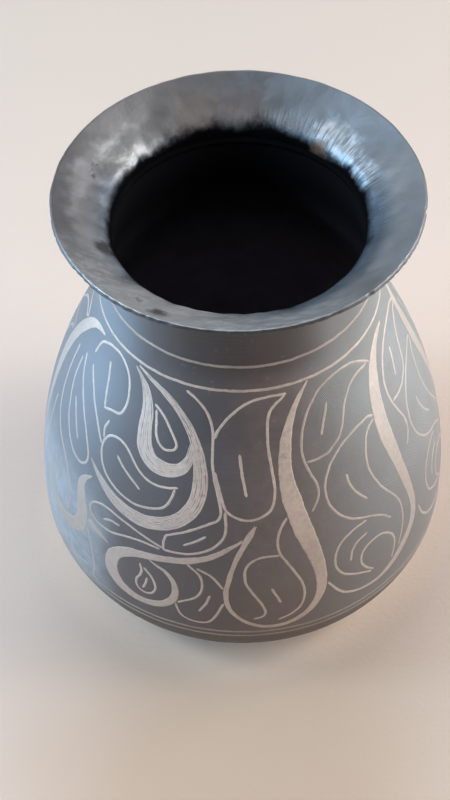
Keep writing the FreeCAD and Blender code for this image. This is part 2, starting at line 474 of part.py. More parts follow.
THIN = {
    "flame_eye": [
        [(-33.2, 68.6), (-30, 67.6), (-27, 66), (-24.6, 64.4), (-23.1, 63), (-23.5, 62.1),
         (-25.2, 61.6), (-27.3, 61.5), (-29.5, 62.3), (-30.9, 63.7), (-31.7, 65.6), (-32.6, 67.4)],
    ],
    "cradle_leaf": [
        [(-21.6, 54.5), (-24.5, 54), (-28, 53.8), (-31.5, 54.3), (-34.7, 55.4), (-37.5, 57),
         (-40.5, 58.4), (-44, 58.9), (-47.3, 58.3), (-49.2, 56.8), (-49.5, 54.6), (-48.3, 52.3),
         (-46, 50.4), (-42.5, 48.9), (-39, 48), (-35, 47.6), (-31, 47.8), (-28, 48.4), (-25.3, 49.2),
         (-23.6, 50.6), (-22.5, 52.2), (-21.9, 53.6)],
        [(-50.2, 57.4), (-50.8, 58.8), (-50.1, 60.2)],
        [(-42.2, 55.2), (-39.8, 54), (-36.5, 52.8), (-33.6, 51.6)],
    ],
    "corner_leaf": [
        [(-69.7, 68.3), (-69, 70.1), (-67, 71.5), (-63.5, 72.5), (-60, 73), (-56, 73.2), (-52.3, 72.6),
         (-49, 71.3), (-46.7, 69.4), (-45.3, 67), (-45.2, 65.2), (-46.5, 63.4), (-49.5, 62.9),
         (-53.2, 62.2)],
        [(-59, 69.6), (-57.2, 67.4), (-55.6, 65), (-54.1, 62.8)],
    ],
    "slant_leaf": [
        [(-73.6, 65.2), (-70, 62.3), (-66, 59.9), (-62, 57.4), (-58, 54.5), (-55.2, 52), (-54, 50),
         (-54.6, 48.3), (-57, 47.1), (-60.5, 47.3), (-64.5, 49.2), (-68.5, 52.2), (-72, 56.3),
         (-74.5, 60.5), (-75.2, 63.6)],
        [(-68.3, 57), (-65, 54.6), (-61.3, 51.4)],
        [(-66.8, 65.6), (-62, 63), (-58, 60.6), (-54, 58.2), (-50.8, 55.8)],
    ],
    "nook_leaf": [
        [(-81, 63.5), (-79.5, 58), (-77, 52.5), (-73, 48.4), (-68.5, 45.8), (-64, 43.6), (-60.6, 40.6),
         (-58.8, 37), (-58.5, 34), (-59.6, 31.2)],
        [(-80.3, 50), (-79.8, 44), (-79, 38), (-78, 32), (-76.2, 26.8), (-72.6, 23), (-67.5, 20.6),
         (-61.5, 19.6), (-55.5, 19.6), (-50.5, 20)],
        [(-49.3, 32.5), (-47.8, 28.8), (-47, 25), (-46.7, 21.8), (-47.4, 19.2)],
        [(-66.6, 41.4), (-66.1, 38.4), (-66.4, 35.4)],
    ],
    "snail_eye": [
        [(-30.3, 32.4), (-29.9, 31), (-30.4, 29.4), (-31.4, 27.8), (-31.6, 26.2), (-30.6, 24.8),
         (-28.8, 24.3), (-26.9, 24.9), (-25.7, 26.6), (-25.8, 28.6), (-27, 30.4), (-28.7, 31.7)],
        [(-28.3, 28.8), (-28.7, 27.4), (-29.3, 26.1)],
    ],
    "parting_stem": [
        [(-21.6, 73.5), (-18, 72.4), (-14.8, 71), (-12.4, 69), (-11, 66.5), (-10.8, 63.5),
         (-10.5, 60.5), (-9.6, 57.5), (-8.6, 55), (-7.8, 52.6), (-7.5, 50.5), (-8.5, 49), (-10.8, 48.1),
         (-14, 46.8), (-17.5, 45.3), (-20, 44.4), (-22.6, 43.4)],
    ],
    "middle_leaf": [
        [(-9.5, 67), (-6.5, 69.3), (-3.5, 70.8), (0, 72.1), (4, 73), (8.5, 73.4), (12, 73.4),
         (15.4, 73.3)],
        [(14.3, 72.6), (11.8, 71.7), (9.6, 70.5), (8.3, 68.6), (7.8, 66), (7.8, 63), (8.2, 60),
         (8.6, 57.5), (8.7, 55), (8.1, 52.8), (6.8, 51.1), (4.5, 50), (1.8, 49.4), (-1, 49.5),
         (-3.8, 50.3), (-5.4, 51.4), (-6.2, 53), (-7, 55), (-7.9, 57)],
        [(-1.7, 62.4), (-1, 58.7), (0, 55.1)],
    ],
    "tucked_leaf": [
        [(-6.1, 50.6), (-5.9, 48), (-6.2, 46), (-7.4, 44.2), (-9.5, 42.5), (-12.2, 41.2), (-15.5, 40.1),
         (-19, 39.6), (-22.6, 39.4)],
        [(-23.3, 42.7), (-23.6, 41.2), (-23.6, 39.8)],
        [(-17.2, 42.2), (-14.6, 43.4), (-12.2, 44.7)],
    ],
    "pod_leaf": [
        [(-24.7, 39.9), (-29, 40.7), (-32.5, 41.4), (-36.5, 42), (-41, 42.5), (-45, 42.4), (-48, 41.4),
         (-49.3, 39.8), (-48.8, 38.3), (-46.6, 37.2), (-43.5, 36.9), (-40.5, 37.1), (-37.5, 37.9),
         (-34, 38.7), (-30, 39.2), (-25.6, 39.2)],
        [(-43, 39.3), (-41, 40), (-38.6, 40.2)],
    ],
    "shell_leaf": [
        [(-15.9, 36.7), (-13.3, 34.8), (-12.3, 32.8), (-12.4, 30.6), (-13.4, 28.6), (-15.3, 26.9),
         (-18.6, 25.2)],
        [(-13.2, 36.2), (-10.2, 35), (-8.4, 33.4), (-7.1, 31.8)],
    ],
    "bottom_leaf": [
        [(-19.6, 23.8), (-19, 21.8), (-17.9, 20.4), (-15.5, 19.5), (-12.7, 19.4), (-10.4, 20.3),
         (-8.8, 22.4), (-7.7, 24.6), (-6.9, 26.3)],
        [(-10.4, 28.5), (-11.4, 26), (-12.9, 23.9)],
    ],
    "hook_leaf": [
        [(11.2, 48.6), (9.5, 46.6), (8.7, 44.6), (8.6, 42.5), (9.2, 40.4), (10.6, 38.2), (12.3, 35.9),
         (13.8, 33.4), (15, 30.7), (15.4, 28), (15, 25.5), (13.6, 23.4), (11.4, 21.9), (8.8, 21)],
        [(8.1, 40.2), (5.5, 40.3), (2.8, 39.9), (0.7, 38.8), (-0.6, 37.1), (-0.9, 35), (-0.3, 32.8),
         (1.1, 30.5), (2.7, 28.2), (4, 26), (4.6, 24), (4, 22.5), (2.3, 21.9)],
        [(6.7, 30.7), (7.6, 28.9), (8.6, 26.9)],
    ],
    "shoulder_leaf_1": SHOULDER_LEAF,
    "waist_leaf_1": WAIST_LEAF,
    "curl_leaf_1": CURL_LEAF,
}
LEAF_TURN_DEGREES = 38.5
for stem in ("waist_leaf", "curl_leaf"):
    THIN[stem + "_2"] = [[(x + LEAF_TURN_DEGREES, y) for x, y in wire] for wire in THIN[stem + "_1"]]
THIN["shoulder_leaf_2"] = [
    [(92, 68.3), (88, 69.5), (83, 70.2), (78, 70.4), (73, 70.1), (68.5, 69.3), (64.5, 68.1),
     (61.3, 66.6), (58.9, 64.9), (57.5, 63.1), (57.2, 61.2), (57.8, 59.1), (58.9, 56.9), (60.2, 54.9),
     (60.5, 53), (59.8, 51.2), (58, 49.4)],
    [(90.6, 67.7), (87.5, 67.9), (84, 67.6), (80, 66.7), (76.8, 65.2), (74.7, 63.7), (73, 62.3),
     (70.5, 61), (68, 60.3), (66.1, 59.8), (64.3, 59.6), (61.7, 59.4), (59.2, 59.5)],
    [(69.4, 66.7), (67.5, 64.9), (65.4, 62.9)],
]
BROAD = {
    "flame_arms": [FLAME_ARMS],
    "flame_sweep": [FLAME_SWEEP],
    "snail_band": [SNAIL_BAND, SNAIL_HORN, SNAIL_TAIL],
    "tall_stem_1": [TALL_STEM_1],
    "tall_stem_2": [TALL_STEM_2],
    "tall_stem_3": [TALL_STEM_3],
}

# Laying a wire: a smooth path over the points, then four rails that bound a flat wire on the skin.

DEGREE = math.pi / 180
DEGREE_LENGTH = 0.65
SAMPLE_LENGTH = 1.1


def stretch(drawn):
    share = (drawn - DRAWN[0]) / (DRAWN[1] - DRAWN[0])
    return upper_foot_z + share * (lower_neck_z - upper_foot_z)


def smooth_path(points):
    # points are (degrees, height, width in mm)
    path = Part.BSplineCurve()
    path.interpolate([Vector(x * DEGREE_LENGTH, stretch(y), w) for x, y, w in points])
    count = max(7, int(path.length() / SAMPLE_LENGTH))
    samples = []
    for i in range(count + 1):
        spot = path.value(path.FirstParameter + (path.LastParameter - path.FirstParameter) * i / count)
        samples.append((spot.x / DEGREE_LENGTH * DEGREE, spot.y, max(spot.z, size("lane_gap") * 2)))
    return samples


def wire_solid(samples, turned, lane, lanes):
    spots = [on_skin(x + turned, y, 0.0) for x, y, w in samples]
    rails = [[], [], [], []]
    last = len(samples) - 1
    for i, (x, y, width) in enumerate(samples):
        tangent = spots[min(last, i + 1)] - spots[max(0, i - 1)]
        out, up = skin_normal(y)
        normal = Vector(out * math.sin(x + turned), -out * math.cos(x + turned), up)
        side = normal.cross(tangent)
        side.normalize()
        pitch = width / lanes
        centre = (lane - (lanes - 1) / 2) * pitch
        spare = min(size("lane_gap"), pitch * 0.3) if lanes > 1 else 0.0
        for rail, (shift, lift) in enumerate(((-0.5, 0), (0.5, 0), (0.5, 1), (-0.5, 1))):
            edge_spot = spots[i] + side * (centre + shift * (pitch - spare))
            angle = math.atan2(edge_spot.x, -edge_spot.y)
            rails[rail].append(on_skin(angle, edge_spot.z, size("seat_gap") + lift * size("wire_rise")))
    run = [0.0]
    for i in range(last):
        run.append(run[-1] + (spots[i + 1] - spots[i]).Length)
    curves = []
    for rail in rails:
        curve = Part.BSplineCurve()
        curve.interpolate(Points=rail, Parameters=run)
        curves.append(curve)
    faces = []
    for i in range(4):
        first_rail, second_rail = curves[i], curves[(i + 1) % 4]
        poles = [list(pair) for pair in zip(first_rail.getPoles(), second_rail.getPoles())]
        sheet_face = Part.BSplineSurface()
        sheet_face.buildFromPolesMultsKnots(
            poles, first_rail.getMultiplicities(), [2, 2], first_rail.getKnots(), [0.0, 1.0],
            False, False, first_rail.Degree, 1)
        faces.append(sheet_face.toShape())
    for end in (0, -1):
        ends = [rail[end] for rail in rails]
        faces.append(Part.Face(Part.makePolygon([ends[0], ends[1], ends[2], ends[0]])))
        faces.append(Part.Face(Part.makePolygon([ends[0], ends[2], ends[3], ends[0]])))
    shell = Part.makeShell(faces)
    shell.sewShape()
    solid = Part.makeSolid(shell)
    if solid.Volume < 0:
        solid.reverse()
    return solid


for side_name, turned in (("front", 0.0), ("back", math.pi)):
    for motif in sorted(set(THIN) | set(BROAD)):
        solids = []
        for wire in THIN.get(motif, []):
            samples = smooth_path([(x, y, size("wire_width")) for x, y in wire])
            solids.append(wire_solid(samples, turned, 0, 1))
        for stroke in BROAD.get(motif, []):
            samples = smooth_path([(x, y, w * size("broad_width") / 10) for x, y, w in stroke])
            for lane in range(STRANDS):
                solids.append(wire_solid(samples, turned, lane, STRANDS))
        label = side_name + "_" + motif
        node = doc.addObject("Part::Feature", label)
        node.Label = label
        node.Shape = Part.makeCompound(solids)

# Check and write.

doc.recompute()
os.makedirs("parts", exist_ok=True)
written = 0
for item in doc.Objects:
    if "Invalid" in item.State or "Error" in item.State:
        raise RuntimeError("not built: " + item.Label)
    if item.TypeId in ("PartDesign::Body", "Part::Feature"):
        if not item.Shape.isValid() or not item.Shape.Solids:
            raise RuntimeError("bad shape: " + item.Label)
        item.Shape.exportStep("parts/" + item.Label + ".step")
        written += 1
print("written", written)
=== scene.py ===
import functools
import math
import bmesh
import bpy
from mathutils import Matrix, Vector


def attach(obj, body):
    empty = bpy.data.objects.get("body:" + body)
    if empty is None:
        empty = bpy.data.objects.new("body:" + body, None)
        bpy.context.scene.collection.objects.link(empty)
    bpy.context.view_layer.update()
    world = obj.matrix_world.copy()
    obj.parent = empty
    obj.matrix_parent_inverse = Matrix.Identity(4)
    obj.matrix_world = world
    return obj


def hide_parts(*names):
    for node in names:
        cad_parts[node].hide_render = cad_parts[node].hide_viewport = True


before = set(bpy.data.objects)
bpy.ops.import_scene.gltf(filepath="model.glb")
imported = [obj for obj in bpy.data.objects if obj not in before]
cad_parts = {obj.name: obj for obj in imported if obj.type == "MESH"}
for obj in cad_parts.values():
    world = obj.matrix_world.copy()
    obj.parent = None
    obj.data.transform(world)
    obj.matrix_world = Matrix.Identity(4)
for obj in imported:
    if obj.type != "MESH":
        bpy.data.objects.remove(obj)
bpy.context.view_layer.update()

# A small vase of blackened steel with silver wire laid on it. Lengths here are in metres.
# The axis is Z, and the front, where the camera stands, is towards -Y.

MM = 0.001
TINY = 1e-6

# Sizes of the turned walls, as in the model's source. BASE, BELLY and THROAT are (radius, height).

WALL = 0.9 * MM
BASE = (34.5 * MM, 1.0 * MM)
BELLY = (44.0 * MM, 17.0 * MM)
THROAT = (25.0 * MM, 91.0 * MM)
NECK_SWEEP = 51.0 * MM
FOOT_LAND = 1.5 * MM
THROAT_BEND = 3.5 * MM
RIM_RADIUS = 35.0 * MM
VASE_HEIGHT = 100.0 * MM
WIRE_WIDTH = 0.6 * MM
BROAD_WIDTH = 4.0 * MM
RING_WIDTH = 0.65 * MM
RING_HEIGHTS = {
    "upper_neck_ring": 80.4 * MM,
    "lower_neck_ring": 75.2 * MM,
    "upper_foot_ring": 16.6 * MM,
    "lower_foot_ring": 14.9 * MM,
}


def foot_sweep(belly, base):
    step = belly - base
    return (step ** 2 + (BELLY[1] - BASE[1]) ** 2) / (2 * step)


FOOT_SWEEP = foot_sweep(BELLY[0], BASE[0])
FOOT_SWEEP_IN = foot_sweep(BELLY[0] - WALL, BASE[0] - FOOT_LAND)
NECK_HUB = (THROAT[0] + NECK_SWEEP, THROAT[1])
NECK_REACH = NECK_HUB[0] - BELLY[0]
SIDE_RISE = THROAT[1] - BELLY[1]
SIDE_SWEEP = (NECK_REACH ** 2 + SIDE_RISE ** 2 - NECK_SWEEP ** 2) / (2 * (BELLY[0] - THROAT[0]))
SIDE_HUB = (BELLY[0] - SIDE_SWEEP, BELLY[1])
FOOT_HUB = (BELLY[0] - FOOT_SWEEP, BELLY[1])
FOOT_HUB_IN = (BELLY[0] - WALL - FOOT_SWEEP_IN, BELLY[1])
TURN_ANGLE = math.atan2(NECK_HUB[1] - SIDE_HUB[1], NECK_HUB[0] - SIDE_HUB[0])
TURN_HEIGHT = SIDE_HUB[1] + SIDE_SWEEP * math.sin(TURN_ANGLE)


# Node trees: a socket that can be used in Python sums, and one way to add any node.

def is_vector(term):
    if isinstance(term, Field):
        return term.socket.type in {"VECTOR", "RGBA"}
    return not isinstance(term, (int, float))


class Field:
    def __init__(self, tree, socket):
        self.tree = tree
        self.socket = socket

    @classmethod
    def add(cls, tree, kind, inputs=None, out=0, **settings):
        node = tree.nodes.new(kind)
        for name, setting in settings.items():
            setattr(node, name, setting)
        for name, item in (inputs or {}).items():
            socket = cls.pick(node.inputs, name)
            if isinstance(item, Field):
                tree.links.new(item.socket, socket)
            else:
                socket.default_value = item
        return cls(tree, cls.pick(node.outputs, out)) if node.outputs else None

    @staticmethod
    def pick(sockets, name):
        if isinstance(name, int):
            return sockets[name]
        return next(
            socket for socket in sockets
            if socket.enabled and name in (socket.name, socket.identifier))

    def other(self, out):
        return Field(self.tree, self.socket.node.outputs[out])

    def maths(self, operation, *terms, out=0):
        kind = "ShaderNodeVectorMath" if any(is_vector(term) for term in terms) else "ShaderNodeMath"
        return Field.add(self.tree, kind, dict(enumerate(terms)), out, operation=operation)

    def scaled(self, vector, factor):
        inputs = {0: vector, "Scale": factor}
        return Field.add(self.tree, "ShaderNodeVectorMath", inputs, operation="SCALE")

    def __add__(self, other):
        return self.maths("ADD", self, other)

    def __radd__(self, other):
        return self.maths("ADD", other, self)

    def __sub__(self, other):
        return self.maths("SUBTRACT", self, other)

    def __rsub__(self, other):
        return self.maths("SUBTRACT", other, self)

    def __mul__(self, other):
        if is_vector(self) and not is_vector(other):
            return self.scaled(self, other)
        if is_vector(other) and not is_vector(self):
            return self.scaled(other, self)
        return self.maths("MULTIPLY", self, other)

    def __rmul__(self, other):
        return self * other

    def __truediv__(self, other):
        if is_vector(self) and not is_vector(other):
            return self.scaled(self, 1 / other)
        return self.maths("DIVIDE", self, other)

    def __rtruediv__(self, other):
        return self.maths("DIVIDE", other, self)

    def __pow__(self, other):
        return self.maths("POWER", self, other)

    def __lt__(self, other):
        return self.maths("LESS_THAN", self, other)

    def __gt__(self, other):
        return self.maths("GREATER_THAN", self, other)

    def __abs__(self):
        return self.maths("ABSOLUTE", self)

    def root(self):
        return self.maths("SQRT", self)

    def least(self, other):
        return self.maths("MINIMUM", self, other)

    def most(self, other):
        return self.maths("MAXIMUM", self, other)

    def length(self):
        return self.maths("LENGTH", self, out="Value")

    def unit(self):
        return self.maths("NORMALIZE", self)

    def cross(self, other):
        return self.maths("CROSS_PRODUCT", self, other)

    def split(self):
        part = Field.add(self.tree, "ShaderNodeSeparateXYZ", {0: self})
        return part, part.other(1), part.other(2)

    def join(self, x, y, z):
        return Field.add(self.tree, "ShaderNodeCombineXYZ", {0: x, 1: y, 2: z})

    def ease(self, low, high):
        # 0 at low, 1 at high, smooth between
        return Field.add(
            self.tree, "ShaderNodeMapRange", {"Value": self, "From Min": low, "From Max": high},
            interpolation_type="SMOOTHSTEP")

    def mix(self, first, second):
        # colours, by this factor
        inputs = {"Factor_Float": self, "A_Color": colour(first), "B_Color": colour(second)}
        return Field.add(self.tree, "ShaderNodeMix", inputs, "Result_Color", data_type="RGBA")

    def noise(self, scale, detail=2.0, rough=0.5, out="Fac"):
        inputs = {"Vector": self, "Scale": scale, "Detail": detail, "Roughness": rough}
        return Field.add(self.tree, "ShaderNodeTexNoise", inputs, out)


def colour(item):
    return item if isinstance(item, Field) else (*item, 1.0)


# Finishes. Colours are linear, noise scales are per metre, and a later mix lies over an earlier one.

def new_finish(name):
    material = bpy.data.materials.new(name)
    material.use_nodes = True
    material.node_tree.nodes.clear()
    tree = material.node_tree
    place = Field.add(tree, "ShaderNodeTexCoord", out="Object")
    return material, tree, place


def close_finish(tree, inputs):
    shader = Field.add(tree, "ShaderNodeBsdfPrincipled", inputs)
    Field.add(tree, "ShaderNodeOutputMaterial", {"Surface": shader})


def bump(tree, height, distance):
    return Field.add(tree, "ShaderNodeBump", {"Height": height, "Distance": distance, "Strength": 1.0})


def polar(place):
    # unit direction round the axis, distance from the axis, height
    x, y, z = place.split()
    radius = (x * x + y * y).root().most(TINY)
    return place.join(x / radius, y / radius, 0.0), radius, z


def near(place, spot, reach, ragged):
    # 1 close to the spot, fading raggedly to 0 at its reach (all in millimetres)
    away = (place - tuple(value * MM for value in spot)).length()
    rough_edge = place.noise(520.0, 3.0) - 0.5
    return (away + rough_edge * (ragged * MM)).ease(reach * MM, reach * 0.35 * MM)


def most_of(place, spots, reach, ragged):
    # the same for several spots together
    return functools.reduce(Field.most, [near(place, spot, reach, ragged) for spot in spots])


def facing(direction, axis, low, high):
    # 0 to 1 as the direction turns towards the axis
    return direction.maths("DOT_PRODUCT", direction, axis, out="Value").ease(low, high)


# Phase of the scored lines, per radian round the vase and per metre up it or out from its axis.
HATCH_ROUND = 640.0
HATCH_UP = 15000.0
TURNING_LINES = 24000.0
LATHE_RINGS = 9000.0


def blackened_outside():
    material, tree, place = new_finish("blackened_steel_outside")
    direction, _, height = polar(place)
    x, y, _ = place.split()
    angle = place.maths("ARCTAN2", x, y)
    cloud = place.noise(38.0, 4.0, 0.55)
    grain = place.noise(420.0, 3.0, 0.6)
    speck = place.noise(1500.0, 2.0, 0.6)
    bend = place.noise(120.0, 2.0) * 5.0
    # fine scoring in three directions, which holds the wire
    first = place.maths("SINE", angle * HATCH_ROUND + height * HATCH_UP + bend)
    second = place.maths("SINE", angle * HATCH_ROUND - height * HATCH_UP + bend)
    level = place.maths("SINE", height * TURNING_LINES + bend * 0.6)
    scored = first * 0.4 + second * 0.4 + level * 0.5
    shade = (cloud * 0.35 + grain * 0.65).ease(0.25, 0.75)
    worn = (speck * 0.6 + grain * 0.4).ease(0.58, 0.74)
    hatched = place.noise(70.0, 2.0).ease(0.46, 0.66)
    blue_temper_and_sheen = facing(direction, (-1.0, 0.0, 0.0), 0.6, 0.96)
    painted_glare_low_left = facing(direction, (-0.92, -0.4, 0.0), 0.86, 0.98) * height.ease(50.0 * MM, 34.0 * MM)
    mottle = (place + (0.1, 0.4, 0.0)).noise(240.0, 5.0, 0.7).ease(0.32, 0.68)
    ends = abs(direction.split()[1]).ease(0.75, 0.97)
    # clouded ground, with painted shade at the front left, a painted sheen on the right side, and warmer
    # low down
    base = shade.mix((0.18, 0.148, 0.143), (0.24, 0.2, 0.193))
    base = (place.noise(24.0, 2.0).ease(0.42, 0.64) * 0.4).mix(base, (0.175, 0.17, 0.176))
    # painted shade at the front left
    base = (facing(direction, (-0.5, -0.87, 0.0), 0.78, 0.98) * 0.7).mix(base, (0.1, 0.105, 0.119))
    # painted sheen on the right side, paler still at the far right
    base = (facing(direction, (1.0, -0.1, 0.0), 0.2, 0.8) * 0.75).mix(base, (0.25, 0.27, 0.275))
    base = (facing(direction, (1.0, 0.0, 0.0), 0.8, 1.0) * 0.4).mix(base, (0.33, 0.35, 0.365))
    base = (height.ease(44.0 * MM, 24.0 * MM) * 0.3).mix(base, (0.185, 0.145, 0.13))
    # the bluish left side: part blue temper, part painted daylight sheen
    base = (blue_temper_and_sheen * 0.75).mix(base, (0.205, 0.245, 0.29))
    # painted glare, pale and speckled, low on the left
    base = (painted_glare_low_left * (0.38 + mottle * 0.36)).mix(base, (0.46, 0.51, 0.56))
    # more painted daylight sheen high on the left, by the neck
    base = (blue_temper_and_sheen * height.ease(70.0 * MM, 80.0 * MM) * 0.4).mix(base, (0.28, 0.36, 0.44))
    # painted shade on the neck and foot, a dark rim edge, then rubbed specks and scoring
    # painted shade on the neck under the lip, strongest at front and back
    base = (height.ease(74.0 * MM, 81.0 * MM) * (0.12 + ends * 0.68)).mix(base, (0.072, 0.065, 0.066))
    # painted shade on the foot under the belly
    base = (height.ease(17.5 * MM, 12.0 * MM) * 0.65).mix(base, (0.1, 0.082, 0.076))
    base = (height.ease(97.6 * MM, 99.2 * MM) * 0.8).mix(base, (0.085, 0.086, 0.092))
    base = (worn * 0.35).mix(base, (0.32, 0.31, 0.305))
    base = (hatched * scored.ease(0.5, 1.1) * 0.25).mix(base, (0.36, 0.345, 0.34))
    rough = 0.4 + shade * 0.08 + grain * 0.08 - worn * 0.05
    relief = scored * (0.4 + hatched * 0.5) + grain * 0.8 + speck * 0.5
    close_finish(tree, {
        "Base Color": base,
        "Metallic": 0.45,
        "Roughness": rough,
        "Normal": bump(tree, relief, 0.035 * MM),
    })
    return material


def mouth_steel():
    material, tree, place = new_finish("ground_steel_mouth")
    direction, radius, height = polar(place)
    cloud = place.noise(60.0, 4.0, 0.6)
    blotch = (place + (0.2, 0.1, 0.0)).noise(150.0, 4.0, 0.65)
    grain = place.noise(700.0, 3.0, 0.6)
    streak = (direction * 60.0 + place.join(0.0, 0.0, radius * 260.0)).noise(1.0, 4.0, 0.62)
    scratch = (place * (420.0, 950.0, 500.0)).noise(1.0, 4.0, 0.65)
    right_back = facing(direction, (0.86, 0.5, 0.0), 0.25, 0.85)
    left_side = facing(direction, (-0.85, 0.53, 0.0), 0.1, 0.8)
    back = facing(direction, (0.05, 1.0, 0.0), 0.75, 0.98)
    front = facing(direction, (-0.3, -0.95, 0.0), 0.4, 0.95)
    throat = radius.ease(30.0 * MM, 26.5 * MM)
    ground_and_sheen = throat * (right_back * 0.8 + 0.2)
    edge = radius.ease(34.45 * MM, 34.9 * MM)
    shade = (cloud * 0.55 + blotch * 0.45).ease(0.34, 0.66)
    # clouded ground that changes round the mouth, with a painted blue reflection at the right back and
    # brushed scratches in front
    base = shade.mix((0.185, 0.19, 0.2), (0.295, 0.305, 0.322))
    base = (left_side * 0.75).mix(base, (0.11, 0.102, 0.104))
    base = (facing(direction, (-0.5, 0.87, 0.0), 0.82, 0.98) * 0.4).mix(base, (0.3, 0.305, 0.32))
    # painted blue reflection at the right back
    base = (right_back * 0.75).mix(base, (0.135, 0.177, 0.22))
    base = (facing(direction, (1.0, -0.2, 0.0), 0.8, 0.98) * 0.6).mix(base, (0.27, 0.285, 0.3))
    base = (front * (0.36 + scratch.ease(0.42, 0.6) * 0.43)).mix(base, (0.53, 0.555, 0.585))
    # pale band at the left, pale front left, cool throat, rust at the back
    pale = most_of(place, [
        (-28.7, 9.2, 97.3), (-29.2, 5.5, 96.9), (-29.2, 1.8, 96.6),
        (-28.8, -1.8, 96.5), (-28.1, -5.2, 96.3), (-26.8, -8.8, 95.9)], 4.4, 4.0)
    base = (pale * 0.55).mix(base, (0.35, 0.345, 0.36))
    base = (near(place, (-15.0, -26.0, 96.8), 13.0, 8.0) * 0.55).mix(base, (0.43, 0.43, 0.435))
    cool = radius.ease(29.0 * MM, 26.0 * MM) * facing(direction, (-1.0, -0.2, 0.0), 0.7, 0.96)
    base = (cool * 0.55).mix(base, (0.17, 0.205, 0.26))
    rust = most_of(place, [(-7.0, 26.0, 95.2), (2.5, 27.4, 95.6)], 6.5, 11.0)
    base = (rust * 0.36).mix(base, (0.2, 0.13, 0.092))
    # ground streaks near the throat, paler and bluish: grinding marks with a painted highlight
    base = (ground_and_sheen * streak.ease(0.4, 0.7) * 0.4).mix(base, (0.36, 0.41, 0.46))
    # rubbed places, paler as polish and as a painted highlight, a painted glint, and painted blue shade
    # at the right side of the throat
    rubbed_and_highlight = most_of(place, [(-21.8, 16.6, 95.3), (-19.4, 19.4, 95.4), (-24.2, 15.6, 96.4)], 4.6, 5.0)
    rubbed_and_highlight = rubbed_and_highlight.most(near(place, (-23.4, 12.4, 94.6), 2.6, 2.5) * 0.5)
    base = (rubbed_and_highlight * 0.72).mix(base, (0.365, 0.372, 0.375))
    # painted glint at the right back, streaked
    glint = most_of(place, [(21.1, 15.9, 94.9), (18.3, 19.9, 95.3), (23.5, 9.5, 94.4)], 4.5, 5.0)
    base = (glint * streak.ease(0.3, 0.62)).mix(base, (0.46, 0.53, 0.6))
    # painted blue shade on the right side of the throat
    blue_throat_shade = throat * facing(direction, (0.8, -0.6, 0.0), 0.35, 0.85)
    base = (blue_throat_shade * 0.8).mix(base, (0.055, 0.09, 0.135))
    # pits, the worn edge, painted shade down the throat and one coppery spot
    pit = most_of(place, [(-25.0, -8.6, 94.9), (-14.8, -28.4, 97.9)], 2.6, 2.6)
    pit = pit.most(blotch.ease(0.66, 0.74) * 0.7)
    base = (pit * 0.88).mix(base, (0.04, 0.038, 0.037))
    base = (edge * 0.85).mix(base, (0.09, 0.088, 0.09))
    base = (edge * grain.ease(0.5, 0.6) * 0.5).mix(base, (0.5, 0.48, 0.46))
    # painted shade, near-black, down the throat, with a ragged edge
    ragged = (blotch - 0.5) * 5.0 + rubbed_and_highlight * 1.2 + glint * (0.2 + streak) - back * 0.5
    painted_throat_shade = (height + ragged * MM).ease(95.0 * MM, 92.4 * MM)
    base = painted_throat_shade.mix(base, (0.006, 0.006, 0.0075))
    spot = near(place, (16.3, 18.6, 93.3), 2.7, 3.0)
    base = (spot * 0.6).mix(base, (0.22, 0.13, 0.09))
    rough = 0.38 + shade * 0.08 + (rust + pit) * 0.2 - rubbed_and_highlight * 0.14 - glint * 0.08
    rough = rough + (blotch - 0.5) * 0.2
    relief = streak * ground_and_sheen * 2.0 + grain * 0.5 + blotch * 1.2 + scratch * front * 0.6 - pit * 1.2
    close_finish(tree, {
        "Base Color": base,
        "Metallic": 0.6 + painted_throat_shade * 0.4 - spot * 0.6,
        "Roughness": rough + painted_throat_shade * 0.3,
        "Normal": bump(tree, relief, 0.09 * MM),
    })
    return material


def raw_inside():
    material, tree, place = new_finish("raw_steel_inside")
    height = place.split()[2]
    cloud = place.noise(90.0, 5.0, 0.6)
    scale = place.noise(700.0, 3.0, 0.6)
    base = cloud.ease(0.3, 0.7).mix((0.28, 0.265, 0.32), (0.36, 0.34, 0.41))
    # painted shade: near-black higher up inside, paler lower down
    base = height.ease(30.0 * MM, 82.0 * MM).mix(base, (0.007, 0.007, 0.009))
    close_finish(tree, {
        "Base Color": base,
        "Metallic": 0.0,
        "Specular IOR Level": 0.06,
        "Roughness": 0.7 + scale * 0.2,
        "Normal": bump(tree, cloud + scale, 0.1 * MM),
    })
    return material


def laid_silver():
    material, tree, place = new_finish("laid_silver")
    edge = Field.add(tree, "ShaderNodeAttribute", out="Fac", attribute_name="edge")
    cloud = place.noise(110.0, 3.0, 0.6)
    grain = place.noise(900.0, 3.0, 0.65)
    dull = (cloud * 0.5 + grain * 0.5).ease(0.36, 0.66)
    tarnish = Field.add(tree, "ShaderNodeAttribute", out="Fac", attribute_name="dulled")
    groove = edge.ease(0.8, 1.0)
    direction, _, height = polar(place)
    base = dull.mix((0.8, 0.672, 0.595), (0.63, 0.518, 0.452))
    # painted shade: the silver darker on the left and right sides, below the neck
    aside = abs(direction.split()[0]).ease(0.35, 0.95) * height.ease(84.0 * MM, 60.0 * MM)
    base = (aside * 0.75).mix(base, (0.37, 0.35, 0.34))
    base = (height.ease(62.0 * MM, 38.0 * MM) * 0.48).mix(base, (0.38, 0.32, 0.285))
    base = (groove * 0.34).mix(base, (0.24, 0.21, 0.19))
    base = (tarnish * (0.4 + cloud * 0.6)).mix(base, (0.3, 0.262, 0.235))
    worn = (place + (0.3, 0.0, 0.1)).noise(620.0, 3.0, 0.7).ease(0.62, 0.72)
    base = (worn * 0.5).mix(base, (0.3, 0.275, 0.255))
    rough = 0.5 + dull * 0.12 + groove * 0.15
    close_finish(tree, {
        "Base Color": base,
        "Metallic": 0.45,
        "Roughness": rough,
        "Normal": bump(tree, grain + cloud * 0.6, 0.05 * MM),
    })
    return material


